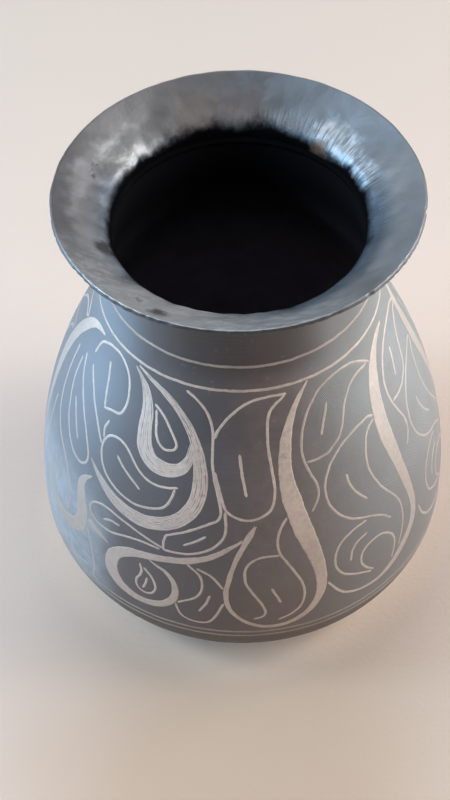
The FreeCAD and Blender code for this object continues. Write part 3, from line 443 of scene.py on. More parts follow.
def braze_in_painted_shade():
    material, tree, place = new_finish("braze_in_painted_shade")
    cloud = place.noise(260.0, 4.0, 0.6)
    grain = place.noise(1200.0, 2.0)
    # painted shade: near-black, as the braze lies in shade
    base = cloud.ease(0.5, 0.75).mix((0.0045, 0.0043, 0.0052), (0.008, 0.007, 0.007))
    close_finish(tree, {
        "Base Color": base,
        "Metallic": 0.0,
        "Specular IOR Level": 0.02,
        "Roughness": 0.7 + grain * 0.25,
        "Normal": bump(tree, cloud + grain * 0.4, 0.12 * MM),
    })
    return material


def turned_base():
    material, tree, place = new_finish("blackened_steel_base")
    _, radius, _ = polar(place)
    wander = place.noise(90.0, 3.0)
    rings = place.maths("SINE", radius * LATHE_RINGS + wander * 6.0)
    cloud = place.noise(70.0, 4.0, 0.6)
    grain = place.noise(800.0, 3.0, 0.6)
    base = cloud.ease(0.3, 0.7).mix((0.05, 0.047, 0.045), (0.115, 0.108, 0.102))
    scuffed = radius.ease(30.0 * MM, 34.0 * MM) * grain.ease(0.45, 0.62)
    base = (scuffed * 0.4).mix(base, (0.3, 0.29, 0.28))
    close_finish(tree, {
        "Base Color": base,
        "Metallic": 1.0,
        "Roughness": 0.42 + cloud * 0.15,
        "Normal": bump(tree, rings * 0.3 + grain, 0.05 * MM),
    })
    return material


outside_finish = blackened_outside()
mouth_finish = mouth_steel()
inside_finish = raw_inside()
silver_finish = laid_silver()
braze_finish = braze_in_painted_shade()
base_finish = turned_base()


# Geometry trees.

def new_tree(name, inputs):
    tree = bpy.data.node_groups.new(name, "GeometryNodeTree")
    tree.interface.new_socket("Geometry", in_out="OUTPUT", socket_type="NodeSocketGeometry")
    tree.interface.new_socket("Geometry", in_out="INPUT", socket_type="NodeSocketGeometry")
    for label, kind in inputs:
        tree.interface.new_socket(label, in_out="INPUT", socket_type="NodeSocket" + kind)
    sockets = Field.add(tree, "NodeGroupInput").socket.node.outputs
    return tree, {socket.name: Field(tree, socket) for socket in sockets if socket.name}


def named(tree, name, kind="FLOAT"):
    return Field.add(tree, "GeometryNodeInputNamedAttribute", {"Name": name}, data_type=kind)


def store(geometry, name, value, kind="FLOAT"):
    return Field.add(
        geometry.tree, "GeometryNodeStoreNamedAttribute",
        {"Geometry": geometry, "Name": name, "Value": value}, data_type=kind, domain="POINT")


def position(tree):
    return Field.add(tree, "GeometryNodeInputPosition")


def place_at(geometry, spot):
    inputs = {"Geometry": geometry, "Position": spot}
    return Field.add(geometry.tree, "GeometryNodeSetPosition", inputs)


def unit_ring(tree, sides):
    inputs = {"Resolution": sides, "Radius": 1.0}
    return Field.add(tree, "GeometryNodeCurvePrimitiveCircle", inputs, mode="RADIUS")


def around(bearing, radius, height):
    # the bearing is counted from the front
    x = bearing.maths("SINE", bearing) * radius
    y = bearing.maths("COSINE", bearing) * radius
    return bearing.join(x, y * -1.0, height)


def forget(geometry, *names):
    for name in names:
        inputs = {"Geometry": geometry, "Name": name}
        geometry = Field.add(geometry.tree, "GeometryNodeRemoveAttribute", inputs)
    return geometry


def coat(geometry, material, where=True):
    inputs = {"Geometry": geometry, "Selection": where, "Material": material}
    return Field.add(geometry.tree, "GeometryNodeSetMaterial", inputs)


def close_tree(geometry):
    tree = geometry.tree
    geometry = Field.add(tree, "GeometryNodeRealizeInstances", {"Geometry": geometry})
    Field.add(tree, "NodeGroupOutput", {"Geometry": geometry})


def on_skin(point):
    # the place on the bulb's outer skin at this point's height and bearing, and the outward normal
    x, y, height = point.split()
    away = (x * x + y * y).root().most(TINY)
    in_foot = height < BELLY[1]
    in_neck = height > TURN_HEIGHT
    hub_r = SIDE_HUB[0] + in_foot * (FOOT_HUB[0] - SIDE_HUB[0]) + in_neck * (NECK_HUB[0] - SIDE_HUB[0])
    hub_z = SIDE_HUB[1] + in_neck * (NECK_HUB[1] - SIDE_HUB[1])
    sweep = SIDE_SWEEP + in_foot * (FOOT_SWEEP - SIDE_SWEEP) + in_neck * (NECK_SWEEP - SIDE_SWEEP)
    bulge = 1.0 - in_neck * 2.0
    rise = height - hub_z
    level = (sweep * sweep - rise * rise).most(0.0).root()
    radius = hub_r + bulge * level
    out = level / sweep
    spot = point.join(radius * x / away, radius * y / away, height)
    normal = point.join(out * x / away, out * y / away, bulge * rise / sweep)
    return spot, normal


FLAT_RADIUS = 37.0 * MM
NOISE_MIDDLE = (0.5, 0.5, 0.5)


def wire_tree():
    # The host is a drawing laid out flat: x is bearing times FLAT_RADIUS, z is height.
    tree, given = new_tree("laid_wire", [
        ("Step", "Float"), ("Rise", "Float"), ("Sink", "Float"), ("Wander", "Float"),
        ("Sides", "Int"), ("Seed", "Float"), ("Dulled", "Float"), ("Finish", "Material")])
    curve = Field.add(tree, "GeometryNodeMeshToCurve", {"Mesh": given["Geometry"]})
    curve = Field.add(tree, "GeometryNodeCurveSplineType", {"Curve": curve}, spline_type="CATMULL_ROM")
    curve = Field.add(
        tree, "GeometryNodeResampleCurve", {"Curve": curve, "Length": given["Step"]}, mode="LENGTH")
    # let the drawn line wander a little, then wrap it round the skin
    drawn = position(tree)
    lane = named(tree, "lane")
    shaken = drawn + drawn.join(given["Seed"], lane * 0.37, 0.0)
    drift = shaken.noise(330.0, 2.0, 0.5, "Color") - NOISE_MIDDLE
    x, _, height = (drawn + drift * (given["Wander"] * 2.0)).split()
    spot, _ = on_skin(around(x / FLAT_RADIUS, 1.0, height))
    run = Field.add(tree, "GeometryNodeSplineParameter", out="Length")
    whole = Field.add(tree, "GeometryNodeSplineLength", out="Length")
    end = run.least(whole - run) / (WIRE_WIDTH * 0.5)
    curve = store(curve, "end", end.least(1.0).most(0.0))
    curve = place_at(curve, spot)
    laid = position(tree)
    _, laid_normal = on_skin(laid)
    tangent = Field.add(tree, "GeometryNodeInputTangent")
    curve = store(curve, "spot", laid, "FLOAT_VECTOR")
    curve = store(curve, "aside", laid_normal.cross(tangent).unit(), "FLOAT_VECTOR")
    ring = unit_ring(tree, given["Sides"])
    round_x, round_y, _ = position(tree).split()
    ring = store(store(ring, "across", round_x), "lift", round_y)
    mesh = Field.add(
        tree, "GeometryNodeCurveToMesh", {"Curve": curve, "Profile Curve": ring, "Fill Caps": True})
    # beat the round wire flat: squared sides, rounded tips, dented width and a low crown
    across = named(tree, "across")
    lift = named(tree, "lift")
    half = named(tree, "half")
    centre = named(tree, "spot", "FLOAT_VECTOR")
    aside = named(tree, "aside", "FLOAT_VECTOR")
    tip = named(tree, "end")
    dent = (centre + centre.join(given["Seed"], lane * 0.2, 0.0)).noise(700.0, 2.0) - 0.5
    taper = (1.0 - (1.0 - tip) * (1.0 - tip)).most(0.0).root() * 0.75 + 0.25
    square = across.maths("SIGN", across) * abs(across) ** 0.6
    nibble = (centre + centre.join(0.0, given["Seed"], lane * 0.2)).noise(1900.0, 1.0) - 0.5
    width = half * named(tree, "share") * taper * (1.0 + dent * 0.4 + nibble * 0.5)
    shift = half * lane + square * width
    seat, outward = on_skin(centre + aside * shift)
    crown = lift.maths("SIGN", lift) * abs(lift) ** 0.4 * 0.5 + 0.5
    rise = given["Rise"] * (1.0 + dent * 0.5) * (taper * 0.6 + 0.4)
    mesh = place_at(mesh, seat + outward * (crown * (rise + given["Sink"]) - given["Sink"]))
    broken = (centre + centre.join(lane * 0.2, 0.0, given["Seed"])).noise(240.0, 2.0) - 0.5
    mesh = store(mesh, "edge", abs(across) * (named(tree, "groove") + broken * 0.5))
    mesh = store(mesh, "dulled", given["Dulled"])
    mesh = forget(mesh, "spot", "aside", "across", "lift", "end", "half", "share", "groove", "lane")
    mesh = Field.add(tree, "GeometryNodeSetShadeSmooth", {"Geometry": mesh})
    close_tree(coat(mesh, given["Finish"]))
    return tree


# Places of the nicks in the rim, in millimetres.
RIM_NICKS = [(34.5, -6.1, 99.6), (22.5, -26.8, 99.6)]


def wall_tree():
    # The host is a closed section in the XZ plane, which is turned all the way round Z.
    tree, given = new_tree("turned_wall", [
        ("Around", "Int"), ("Hammer", "Float"), ("Facet", "Float"), ("Sag", "Float"), ("Nick", "Float"),
        ("Burr", "Float"), ("Seed", "Float"), ("Outside", "Material"), ("Inside", "Material")])
    section = Field.add(tree, "GeometryNodeMeshToCurve", {"Mesh": given["Geometry"]})
    x, _, z = position(tree).split()
    section = store(store(section, "out", x), "up", z)
    ring = unit_ring(tree, given["Around"])
    number = Field.add(tree, "GeometryNodeInputIndex")
    ring = store(ring, "bearing", number * (2 * math.pi) / given["Around"])
    mesh = Field.add(tree, "GeometryNodeCurveToMesh", {"Curve": ring, "Profile Curve": section})
    out = named(tree, "out")
    mesh = place_at(mesh, around(named(tree, "bearing"), out, named(tree, "up")))
    # beat the wall into facets, let it sag, and nick and burr the rim
    here = position(tree)
    normal = Field.add(tree, "GeometryNodeInputNormal")
    beaten = named(tree, "beaten")
    shifted = here + here.join(given["Seed"], 0.0, 0.0)
    cells = {"Vector": shifted, "Scale": 1.0 / given["Facet"], "Smoothness": 0.35}
    facets = Field.add(tree, "ShaderNodeTexVoronoi", cells, "Distance", feature="SMOOTH_F1")
    sag = shifted.noise(55.0, 2.0, 0.5, "Color") - NOISE_MIDDLE
    beat = (facets - 0.4) * given["Hammer"]
    bite = 0.0
    for spot in RIM_NICKS:
        away = (here - tuple(value * MM for value in spot)).length()
        bite = away.ease(1.0 * MM, 0.2 * MM) + bite
    in_front = here.split()[1].ease(2.0 * MM, -18.0 * MM)
    burr = shifted.noise(800.0, 3.0, 0.6).ease(0.4, 0.7) * out.ease(34.0 * MM, 34.8 * MM)
    burr = burr * shifted.noise(90.0, 2.0, 0.5).ease(0.3, 0.56) * in_front
    inward = (here * (-1.0, -1.0, -0.2)).unit()
    worn = inward * (bite * given["Nick"] + burr * given["Burr"])
    mesh = place_at(mesh, here + (normal * beat + sag * given["Sag"] + worn) * beaten)
    mesh = forget(mesh, "out", "up", "bearing", "beaten")
    mesh = Field.add(tree, "GeometryNodeSetShadeSmooth", {"Geometry": mesh})
    mesh = coat(mesh, given["Outside"])
    close_tree(coat(mesh, given["Inside"], named(tree, "inner") > 0.5))
    return tree


laid_wire = wire_tree()
turned_wall = wall_tree()


def shown(name, data):
    thing = bpy.data.objects.new(name, data)
    bpy.context.scene.collection.objects.link(thing)
    return thing


def grow(name, host, tree, sizes, nodes, crease=None):
    # run the tree on the host drawing and keep its result as a plain mesh that stands for CAD nodes
    piece = shown(name, host)
    modifier = piece.modifiers.new(tree.name, "NODES")
    modifier.node_group = tree
    for socket in tree.interface.items_tree:
        if socket.in_out == "INPUT" and socket.name in sizes:
            modifier[socket.identifier] = sizes[socket.name]
    bpy.context.view_layer.update()
    graph = bpy.context.evaluated_depsgraph_get()
    mesh = bpy.data.meshes.new_from_object(piece.evaluated_get(graph))
    piece.modifiers.remove(modifier)
    piece.data = mesh
    mesh.name = name
    work = bmesh.new()
    work.from_mesh(mesh)
    bmesh.ops.recalc_face_normals(work, faces=work.faces)
    work.to_mesh(mesh)
    work.free()
    if crease:
        mesh.set_sharp_from_angle(angle=crease)
    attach(piece, "root")
    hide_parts(*nodes)


def drawn_host(name, places, edges, columns):
    # bare edges, with a number for each point in each named column
    host = bpy.data.meshes.new(name)
    host.from_pydata(places, edges, [])
    for label, column in columns.items():
        layer = host.attributes.new(label, "FLOAT", "POINT")
        layer.data.foreach_set("value", column)
    return host


# The turned walls: rows are (radius, height, how far beaten, 1 for the inside finish or 0).

# Steps along foot, side and neck, back along neck, side and foot, and below and above the bend and lip.
SKIN_STEPS = (18, 44, 24)
LINING_STEPS = (14, 24, 10)
BEND_STEPS = (12, 14)
LIP_STEPS = (12, 24)
LIP_SOFT = 0.22 * MM


def sweep(hub, radius, first, last, count):
    turns = [first + (last - first) * i / count for i in range(count + 1)]
    return [(hub[0] + radius * math.cos(turn), hub[1] + radius * math.sin(turn)) for turn in turns]


def section_host(name, rows):
    count = len(rows)
    edges = [(i, (i + 1) % count) for i in range(count)]
    radii, heights, beaten, inner = zip(*rows)
    places = [(r, 0.0, z) for r, z in zip(radii, heights)]
    return drawn_host(name, places, edges, {"beaten": beaten, "inner": inner})


def bulb_rows():
    start = math.atan2(BASE[1] - FOOT_HUB[1], BASE[0] - FOOT_HUB[0])
    foot, side, neck = SKIN_STEPS
    skin = sweep(FOOT_HUB, FOOT_SWEEP, start, 0.0, foot)
    skin += sweep(SIDE_HUB, SIDE_SWEEP, 0.0, TURN_ANGLE, side)[1:]
    skin += sweep(NECK_HUB, NECK_SWEEP, math.pi + TURN_ANGLE, math.pi, neck)[1:]
    corner = (BASE[0] - FOOT_LAND - FOOT_HUB_IN[0], BASE[1] - FOOT_HUB_IN[1])
    neck, side, foot = LINING_STEPS
    lining = sweep(NECK_HUB, NECK_SWEEP + WALL, math.pi, math.pi + TURN_ANGLE, neck)
    lining += sweep(SIDE_HUB, SIDE_SWEEP - WALL, TURN_ANGLE, 0.0, side)[1:]
    lining += sweep(FOOT_HUB_IN, FOOT_SWEEP_IN, 0.0, math.atan2(corner[1], corner[0]), foot)[1:]
    return [(r, z, 0.0, 0.0) for r, z in skin] + [(r, z, 0.0, 1.0) for r, z in lining]


def lip_slope():
    # the slope at which the lip's upper edge comes to the full height, found by halving
    low, high = 0.0, 1.3
    for _ in range(60):
        slope = (low + high) / 2
        run = (RIM_RADIUS - THROAT[0] - THROAT_BEND + THROAT_BEND * math.sin(slope)) * math.tan(slope)
        if THROAT[1] + (THROAT_BEND + WALL) * math.cos(slope) + run < VASE_HEIGHT:
            low = slope
        else:
            high = slope
    return low


def mouth_rows():
    slope = lip_slope()
    hub = (THROAT[0] + THROAT_BEND, THROAT[1])
    bend_end = math.pi / 2 + slope
    under = sweep(hub, THROAT_BEND, math.pi, bend_end, BEND_STEPS[0])
    over = sweep(hub, THROAT_BEND + WALL, bend_end, math.pi, BEND_STEPS[1])
    along = (math.cos(slope), math.sin(slope))
    upward = (-math.sin(slope), math.cos(slope))
    start = under[-1]
    reach = (RIM_RADIUS - start[0]) / along[0]

    def lip(run, lift):
        # run along the lip's underside, lift through its thickness
        return tuple(start[i] + along[i] * run + upward[i] * lift for i in (0, 1))

    bottom, top = LIP_STEPS
    soft, corner = LIP_SOFT, LIP_SOFT * 0.3
    under += [lip(reach * i / bottom, 0.0) for i in range(1, bottom)] + [lip(reach - soft, 0.0)]
    edge = [lip(reach - corner, corner), lip(reach, soft)]
    upper = [lip(reach, WALL - soft), lip(reach - corner, WALL - corner), lip(reach - soft, WALL)]
    upper += [lip(reach * i / top, WALL) for i in range(top - 1, 0, -1)] + over

    def beaten(r, z, on_top):
        # not at all near the seam, and less on the underside and out towards the rim
        clear = min(1.0, max(0.0, (z - THROAT[1] - 0.6 * MM) / (2.5 * MM)))
        outer = min(1.0, max(0.0, (r - 28.5 * MM) / (3.5 * MM)))
        return clear * (1.0 - 0.65 * outer if on_top else 0.3)

    rows = [(r, z, beaten(r, z, False), 0.0) for r, z in under]
    rows += [(r, z, beaten(r, z, True), 0.0) for r, z in edge]
    return rows + [(r, z, beaten(r, z, True), 1.0) for r, z in upper]


CREASE = math.radians(50.0)
grow("bulb", section_host("bulb_section", bulb_rows()), turned_wall, {
    "Around": 288, "Hammer": 0.0, "Facet": 4.0 * MM, "Sag": 0.0, "Nick": 0.0, "Burr": 0.0, "Seed": 0.0,
    "Outside": outside_finish, "Inside": inside_finish,
}, ["bulb_shell"], CREASE)
grow("mouth", section_host("mouth_section", mouth_rows()), turned_wall, {
    "Around": 576, "Hammer": 0.42 * MM, "Facet": 4.2 * MM, "Sag": 0.8 * MM, "Nick": 0.9 * MM,
    "Burr": 0.8 * MM, "Seed": 0.31, "Outside": outside_finish, "Inside": mouth_finish,
}, ["flared_neck"], CREASE)

# The wire drawing: points are (degrees round from the front, height), drawn for rings at these heights.
# A broad stroke also has a width for each point, as tenths of BROAD_WIDTH.
DRAWN = (17.0, 75.0)

FLAME_ARMS = [
    (-45.3, 73.5, 1), (-42.2, 72.4, 2.2), (-38.8, 70.4, 4.5), (-36.3, 67, 6.5), (-35.3, 63.2, 8),
    (-34, 60.4, 8.8), (-31.2, 58.5, 8.8), (-27.5, 57.7, 8.5), (-23.3, 57.9, 7.4), (-20.1, 59, 6.2),
    (-18.2, 61.1, 4.3), (-17.9, 63.6, 2.2),
]
FLAME_SWEEP = [
    (-43.8, 74.1, 1), (-38, 73.1, 2.2), (-32, 71.9, 3), (-27, 70.4, 3.5), (-23, 68.7, 3.8),
    (-19.3, 66.5, 4.2), (-16.6, 64, 4.8), (-14.9, 61, 6.3), (-14, 57, 7.5), (-14.7, 53, 7.8),
    (-17.2, 49.6, 8), (-21, 47, 8), (-26, 45.3, 8.2), (-32, 44.6, 8.4), (-38, 45.2, 7.5),
    (-43, 46.5, 6), (-48, 48.5, 3.8), (-52, 50.3, 1.3),
]
SNAIL_BAND = [
    (-1.7, 44.3, 1.3), (-2.4, 43.9, 1.5), (-5, 42.6, 2.6), (-8, 41, 3.2), (-12, 39.3, 3.8),
    (-17, 37.9, 4.2), (-22, 37, 4.3), (-28, 36, 4.8), (-33.5, 34.8, 5.8), (-38, 32.4, 7.2),
    (-40, 29, 8.4),
    (-39.5, 25.6, 8.6), (-37, 22.9, 7.8), (-33, 21.5, 6), (-28.5, 21.3, 5), (-24, 22.5, 4.8),
    (-21, 24.9, 4.5), (-19.8, 28, 3.9), (-20.6, 31.2, 3.2), (-22.8, 33.3, 2.2), (-25, 34.1, 1.5),
    (-27, 34.8, 1),
]
SNAIL_HORN = [
    (-51, 46.6, 1.2), (-53.2, 45, 3.6), (-54.3, 42.8, 5.8), (-53.7, 40.1, 7.6), (-52.7, 37.5, 8.6),
    (-52.3, 34.6, 9.2), (-53.2, 31.8, 9.2), (-56, 29.6, 8.6), (-60, 28.6, 8), (-64.5, 28.5, 7.4),
    (-68.5, 29.6, 6.4), (-71.2, 32.4, 5), (-72.4, 36, 3.4), (-72.8, 39.5, 1.6),
]
SNAIL_TAIL = [(-48.6, 35.4, 3.8), (-46.4, 34.7, 4), (-44, 34.1, 2.8), (-42.1, 33.6, 1.2)]
TALL_STEM_1 = [
    (25.1, 74.3, 1), (21.6, 72.3, 2.3), (18.6, 70.1, 3), (16, 67.5, 4), (14, 64.8, 5.5),
    (12.9, 61.5, 6.5), (12.6, 58.5, 7.3), (12.9, 55.5, 8.5), (13.9, 52, 9.5), (15.2, 48, 9.8),
    (16.7, 44, 9.7), (18.3, 40, 8.8), (19.6, 36, 7.5), (20.3, 32, 6.2), (20.3, 28.5, 5.7),
    (19.4, 25.7, 5), (17.9, 23.3, 4.2), (15.6, 21.1, 3.5), (12.5, 19.5, 3), (8.5, 18.6, 2.7),
    (4.5, 18.7, 2.5), (1, 19.8, 2.3), (-1.8, 21.5, 2.3), (-4.1, 23.8, 2.3), (-5.5, 26.5, 2.4),
    (-5.9, 29.5, 2.7), (-5.4, 33, 2.7), (-4.3, 36.7, 2.6), (-2.9, 40, 2.6), (-1.1, 43, 3),
    (0.7, 45.6, 3.4), (2.2, 47.6, 1.5),
]
TALL_STEM_2 = [
    (71, 72.6, 1.4), (66, 72.1, 3.2), (61, 70.7, 4.8), (56.7, 68.5, 6.4), (53.4, 65.8, 7.6),
    (51.3, 62.8, 8.6), (50.2, 59.5, 9.2), (50.1, 56, 9.3), (50.7, 52.5, 8.6), (51.5, 48.5, 7.2),
    (52.5, 44.5, 6.5), (53.5, 40.5, 5.6), (54.3, 37, 5), (54.5, 33.5, 5), (53.5, 30.3, 5.4),
    (51.3, 27.6, 5.7), (48.2, 25.2, 5.7), (44.6, 23, 5), (41, 21.6, 3.8), (37, 21, 2.3),
    (32.5, 21.4, 1.8), (28.5, 22.6, 1.7), (25.5, 24.7, 1.6), (22.5, 28.5, 1.3),
]
STEM_TURN_DEGREES = 40
TALL_STEM_3 = [(x + STEM_TURN_DEGREES, y, width) for x, y, width in TALL_STEM_2[:20]] + [
    (72, 21.2, 1.8), (67, 22.2, 1.7), (62.5, 24.2, 1.7), (59.2, 27.2, 1.6), (57.4, 30.8, 1.5),
]

SHOULDER_LEAF = [
    [(54.9, 70.1), (50, 71.9), (45.5, 72.9), (40, 73.2), (35, 72.9), (30, 72), (26.2, 70.4), (23, 68.4),
     (20.5, 66), (19.1, 63.6), (18.7, 61.4), (19.3, 59.2), (20.4, 56.9), (21.7, 54.9), (22, 53),
     (21.3, 51.2), (19.6, 49.4)],
    [(53.6, 70.3), (52.4, 70.1), (49, 70.2), (45.5, 69.8), (41.5, 68.7), (38.3, 66.9), (36.2, 65),
     (34.5, 63.2), (32, 61.5), (29.5, 60.6), (27.6, 59.9), (25.8, 59.6), (23.2, 59.4), (20.7, 59.5)],
    [(30.9, 68.3), (29, 66.3), (26.9, 64.1)],
]
WAIST_LEAF = [
    [(46.7, 61.3), (45, 61.7), (42, 61.6), (38, 61.2), (34, 60.4), (30.3, 59.1), (27.3, 57.4),
     (25.2, 55.3), (24.2, 53), (24.3, 50.5), (25.3, 48.2), (27.3, 45.9), (30.3, 43.8), (34, 42.2),
     (38, 40.9), (41.5, 39.1), (44, 37.1)],
    [(46.4, 60.3), (44.5, 59.9), (42.7, 58.9), (41.2, 57.2), (40.1, 54.8), (39.9, 52.4), (40.7, 49.9),
     (42.2, 47.3), (44.4, 44.5), (46.8, 41.8), (48.6, 39), (49.3, 36), (49.2, 33), (48.4, 30.4),
     (46.9, 27.2)],
    [(31.9, 53.3), (32.4, 51.1), (34.2, 48.6), (36.7, 46.3)],
]
CURL_LEAF = [
    [(34.8, 40.8), (31.5, 40.5), (28.3, 39.5), (26, 37.9), (24.8, 35.6), (24.7, 33.2), (25.6, 31),
     (27.5, 29.2), (30.3, 27.7), (33.2, 26.5), (35.2, 25.7)],
    [(36.3, 26), (34.6, 27.3), (33.2, 29), (32.7, 31.2), (33.6, 33.1), (36, 34.3), (39, 34.6),
     (41.8, 33.8), (44, 32.1), (45.1, 29.9), (44.9, 27.6), (43.9, 25.1)],
    [(34.6, 37.4), (31.8, 36.6), (30, 35), (29.4, 32.9)],
]

THIN = {
    "flame_eye": [
        [(-33.2, 68.6), (-30, 67.6), (-27, 66), (-24.6, 64.4), (-23.1, 63), (-23.5, 62.1),
         (-25.2, 61.6), (-27.3, 61.5), (-29.5, 62.3), (-30.9, 63.7), (-31.7, 65.6), (-32.6, 67.4)],
    ],
    "cradle_leaf": [
        [(-21.6, 54.5), (-24.5, 54), (-28, 53.8), (-31.5, 54.3), (-34.7, 55.4), (-37.5, 57),
         (-40.5, 58.4), (-44, 58.9), (-47.3, 58.3), (-49.2, 56.8), (-49.5, 54.6), (-48.3, 52.3),
         (-46, 50.4), (-42.5, 48.9), (-39, 48), (-35, 47.6), (-31, 47.8), (-28, 48.4), (-25.3, 49.2),
         (-23.6, 50.6), (-22.5, 52.2), (-21.9, 53.6)],
        [(-50.2, 57.4), (-50.8, 58.8), (-50.1, 60.2)],
        [(-42.2, 55.2), (-39.8, 54), (-36.5, 52.8), (-33.6, 51.6)],
    ],
    "corner_leaf": [
        [(-69.7, 68.3), (-69, 70.1), (-67, 71.5), (-63.5, 72.5), (-60, 73), (-56, 73.2), (-52.3, 72.6),
         (-49, 71.3), (-46.7, 69.4), (-45.3, 67), (-45.2, 65.2), (-46.5, 63.4), (-49.5, 62.9),
         (-53.2, 62.2)],
        [(-59, 69.6), (-57.2, 67.4), (-55.6, 65), (-54.1, 62.8)],
    ],
    "slant_leaf": [
        [(-73.6, 65.2), (-70, 62.3), (-66, 59.9), (-62, 57.4), (-58, 54.5), (-55.2, 52), (-54, 50),
         (-54.6, 48.3), (-57, 47.1), (-60.5, 47.3), (-64.5, 49.2), (-68.5, 52.2), (-72, 56.3),
         (-74.5, 60.5), (-75.2, 63.6)],
        [(-68.3, 57), (-65, 54.6), (-61.3, 51.4)],
        [(-66.8, 65.6), (-62, 63), (-58, 60.6), (-54, 58.2), (-50.8, 55.8)],
    ],
    "nook_leaf": [
        [(-81, 63.5), (-79.5, 58), (-77, 52.5), (-73, 48.4), (-68.5, 45.8), (-64, 43.6), (-60.6, 40.6),
         (-58.8, 37), (-58.5, 34), (-59.6, 31.2)],
        [(-80.3, 50), (-79.8, 44), (-79, 38), (-78, 32), (-76.2, 26.8), (-72.6, 23), (-67.5, 20.6),
         (-61.5, 19.6), (-55.5, 19.6), (-50.5, 20)],
        [(-49.3, 32.5), (-47.8, 28.8), (-47, 25), (-46.7, 21.8), (-47.4, 19.2)],
        [(-66.6, 41.4), (-66.1, 38.4), (-66.4, 35.4)],
    ],
    "snail_eye": [
        [(-30.3, 32.4), (-29.9, 31), (-30.4, 29.4), (-31.4, 27.8), (-31.6, 26.2), (-30.6, 24.8),
         (-28.8, 24.3), (-26.9, 24.9), (-25.7, 26.6), (-25.8, 28.6), (-27, 30.4), (-28.7, 31.7)],
        [(-28.3, 28.8), (-28.7, 27.4), (-29.3, 26.1)],
    ],
    "parting_stem": [
        [(-21.6, 73.5), (-18, 72.4), (-14.8, 71), (-12.4, 69), (-11, 66.5), (-10.8, 63.5),
         (-10.5, 60.5), (-9.6, 57.5), (-8.6, 55), (-7.8, 52.6), (-7.5, 50.5), (-8.5, 49), (-10.8, 48.1),
         (-14, 46.8), (-17.5, 45.3), (-20, 44.4), (-22.6, 43.4)],
    ],
    "middle_leaf": [
        [(-10.1, 66.1), (-9.5, 67), (-6.5, 69.3), (-3.5, 70.8), (0, 72.1), (4, 73), (8.5, 73.4),
         (12, 73.4), (15.4, 73.3)],
        [(15.1, 73), (14.3, 72.6), (11.8, 71.7), (9.6, 70.5), (8.3, 68.6), (7.8, 66), (7.8, 63),
         (8.2, 60), (8.6, 57.5), (8.7, 55), (8.1, 52.8), (6.8, 51.1), (4.5, 50), (1.8, 49.4), (-1, 49.5),
         (-3.8, 50.3), (-5.8, 51.4), (-6.9, 53), (-7.7, 55), (-8.6, 57), (-9.4, 58.8)],
        [(-1.7, 62.4), (-1, 58.7), (0, 55.1)],
    ],
    "tucked_leaf": [
        [(-6.1, 50.6), (-5.9, 48), (-6.2, 46), (-7.4, 44.2), (-9.5, 42.5), (-12.2, 41.2), (-15.5, 40.1),
         (-19, 39.6), (-22.6, 39.4)],
        [(-23.3, 42.7), (-23.6, 41.2), (-23.6, 39.8)],
        [(-17.2, 42.2), (-14.6, 43.4), (-12.2, 44.7)],
    ],
    "pod_leaf": [
        [(-24.7, 39.9), (-29, 40.7), (-32.5, 41.4), (-36.5, 42), (-41, 42.5), (-45, 42.4), (-48, 41.4),
         (-49.3, 39.8), (-48.8, 38.3), (-46.6, 37.2), (-43.5, 36.9), (-40.5, 37.1), (-37.5, 37.9),
         (-34, 38.7), (-30, 39.2), (-25.6, 39.2)],
        [(-43, 39.3), (-41, 40), (-38.6, 40.2)],
    ],
    "shell_leaf": [
        [(-15.9, 36.7), (-13.3, 34.8), (-12.3, 32.8), (-12.4, 30.6), (-13.4, 28.6), (-15.3, 26.9),
         (-18.6, 25.2)],
        [(-13.2, 36.2), (-10.2, 35), (-8.4, 33.4), (-7.1, 31.8)],
    ],
    "bottom_leaf": [
        [(-19.6, 23.8), (-19, 21.8), (-17.9, 20.4), (-15.5, 19.5), (-12.7, 19.4), (-10.4, 20.3),
         (-8.8, 22.4), (-7.7, 24.6), (-6.9, 26.3)],
        [(-10.4, 28.5), (-11.4, 26), (-12.9, 23.9)],
    ],
    "hook_leaf": [
        [(11.2, 48.6), (9.5, 46.6), (8.7, 44.6), (8.6, 42.5), (9.2, 40.4), (10.6, 38.2), (12.3, 35.9),
         (13.8, 33.4), (15, 30.7), (15.4, 28), (15, 25.5), (13.6, 23.4), (11.4, 21.9), (8.8, 21)],
        [(8.1, 40.2), (5.5, 40.3), (2.8, 39.9), (0.7, 38.8), (-0.6, 37.1), (-0.9, 35), (-0.3, 32.8),
         (1.1, 30.5), (2.7, 28.2), (4, 26), (4.6, 24), (4, 22.5), (2.3, 21.9)],
        [(6.7, 30.7), (7.6, 28.9), (8.6, 26.9)],
    ],
    "shoulder_leaf_1": SHOULDER_LEAF,
    "waist_leaf_1": WAIST_LEAF,
    "curl_leaf_1": CURL_LEAF,
}
LEAF_TURN_DEGREES = 38.5
for stem in ("waist_leaf", "curl_leaf"):
    THIN[stem + "_2"] = [[(x + LEAF_TURN_DEGREES, y) for x, y in wire] for wire in THIN[stem + "_1"]]
THIN["shoulder_leaf_2"] = [
    [(92, 68.3), (88, 69.5), (83, 70.2), (78, 70.4), (73, 70.1), (68.5, 69.3), (64.5, 68.1),
     (61.3, 66.6), (58.9, 64.9), (57.5, 63.1), (57.2, 61.2), (57.8, 59.1), (58.9, 56.9), (60.2, 54.9),
     (60.5, 53), (59.8, 51.2), (58, 49.4)],
    [(91.4, 67.9), (90.6, 67.7), (87.5, 67.9), (84, 67.6), (80, 66.7), (76.8, 65.2), (74.7, 63.7),
     (73, 62.3), (70.5, 61), (68, 60.3), (66.1, 59.8), (64.3, 59.6), (61.7, 59.4), (59.2, 59.5)],
    [(69.4, 66.7), (67.5, 64.9), (65.4, 62.9)],
]
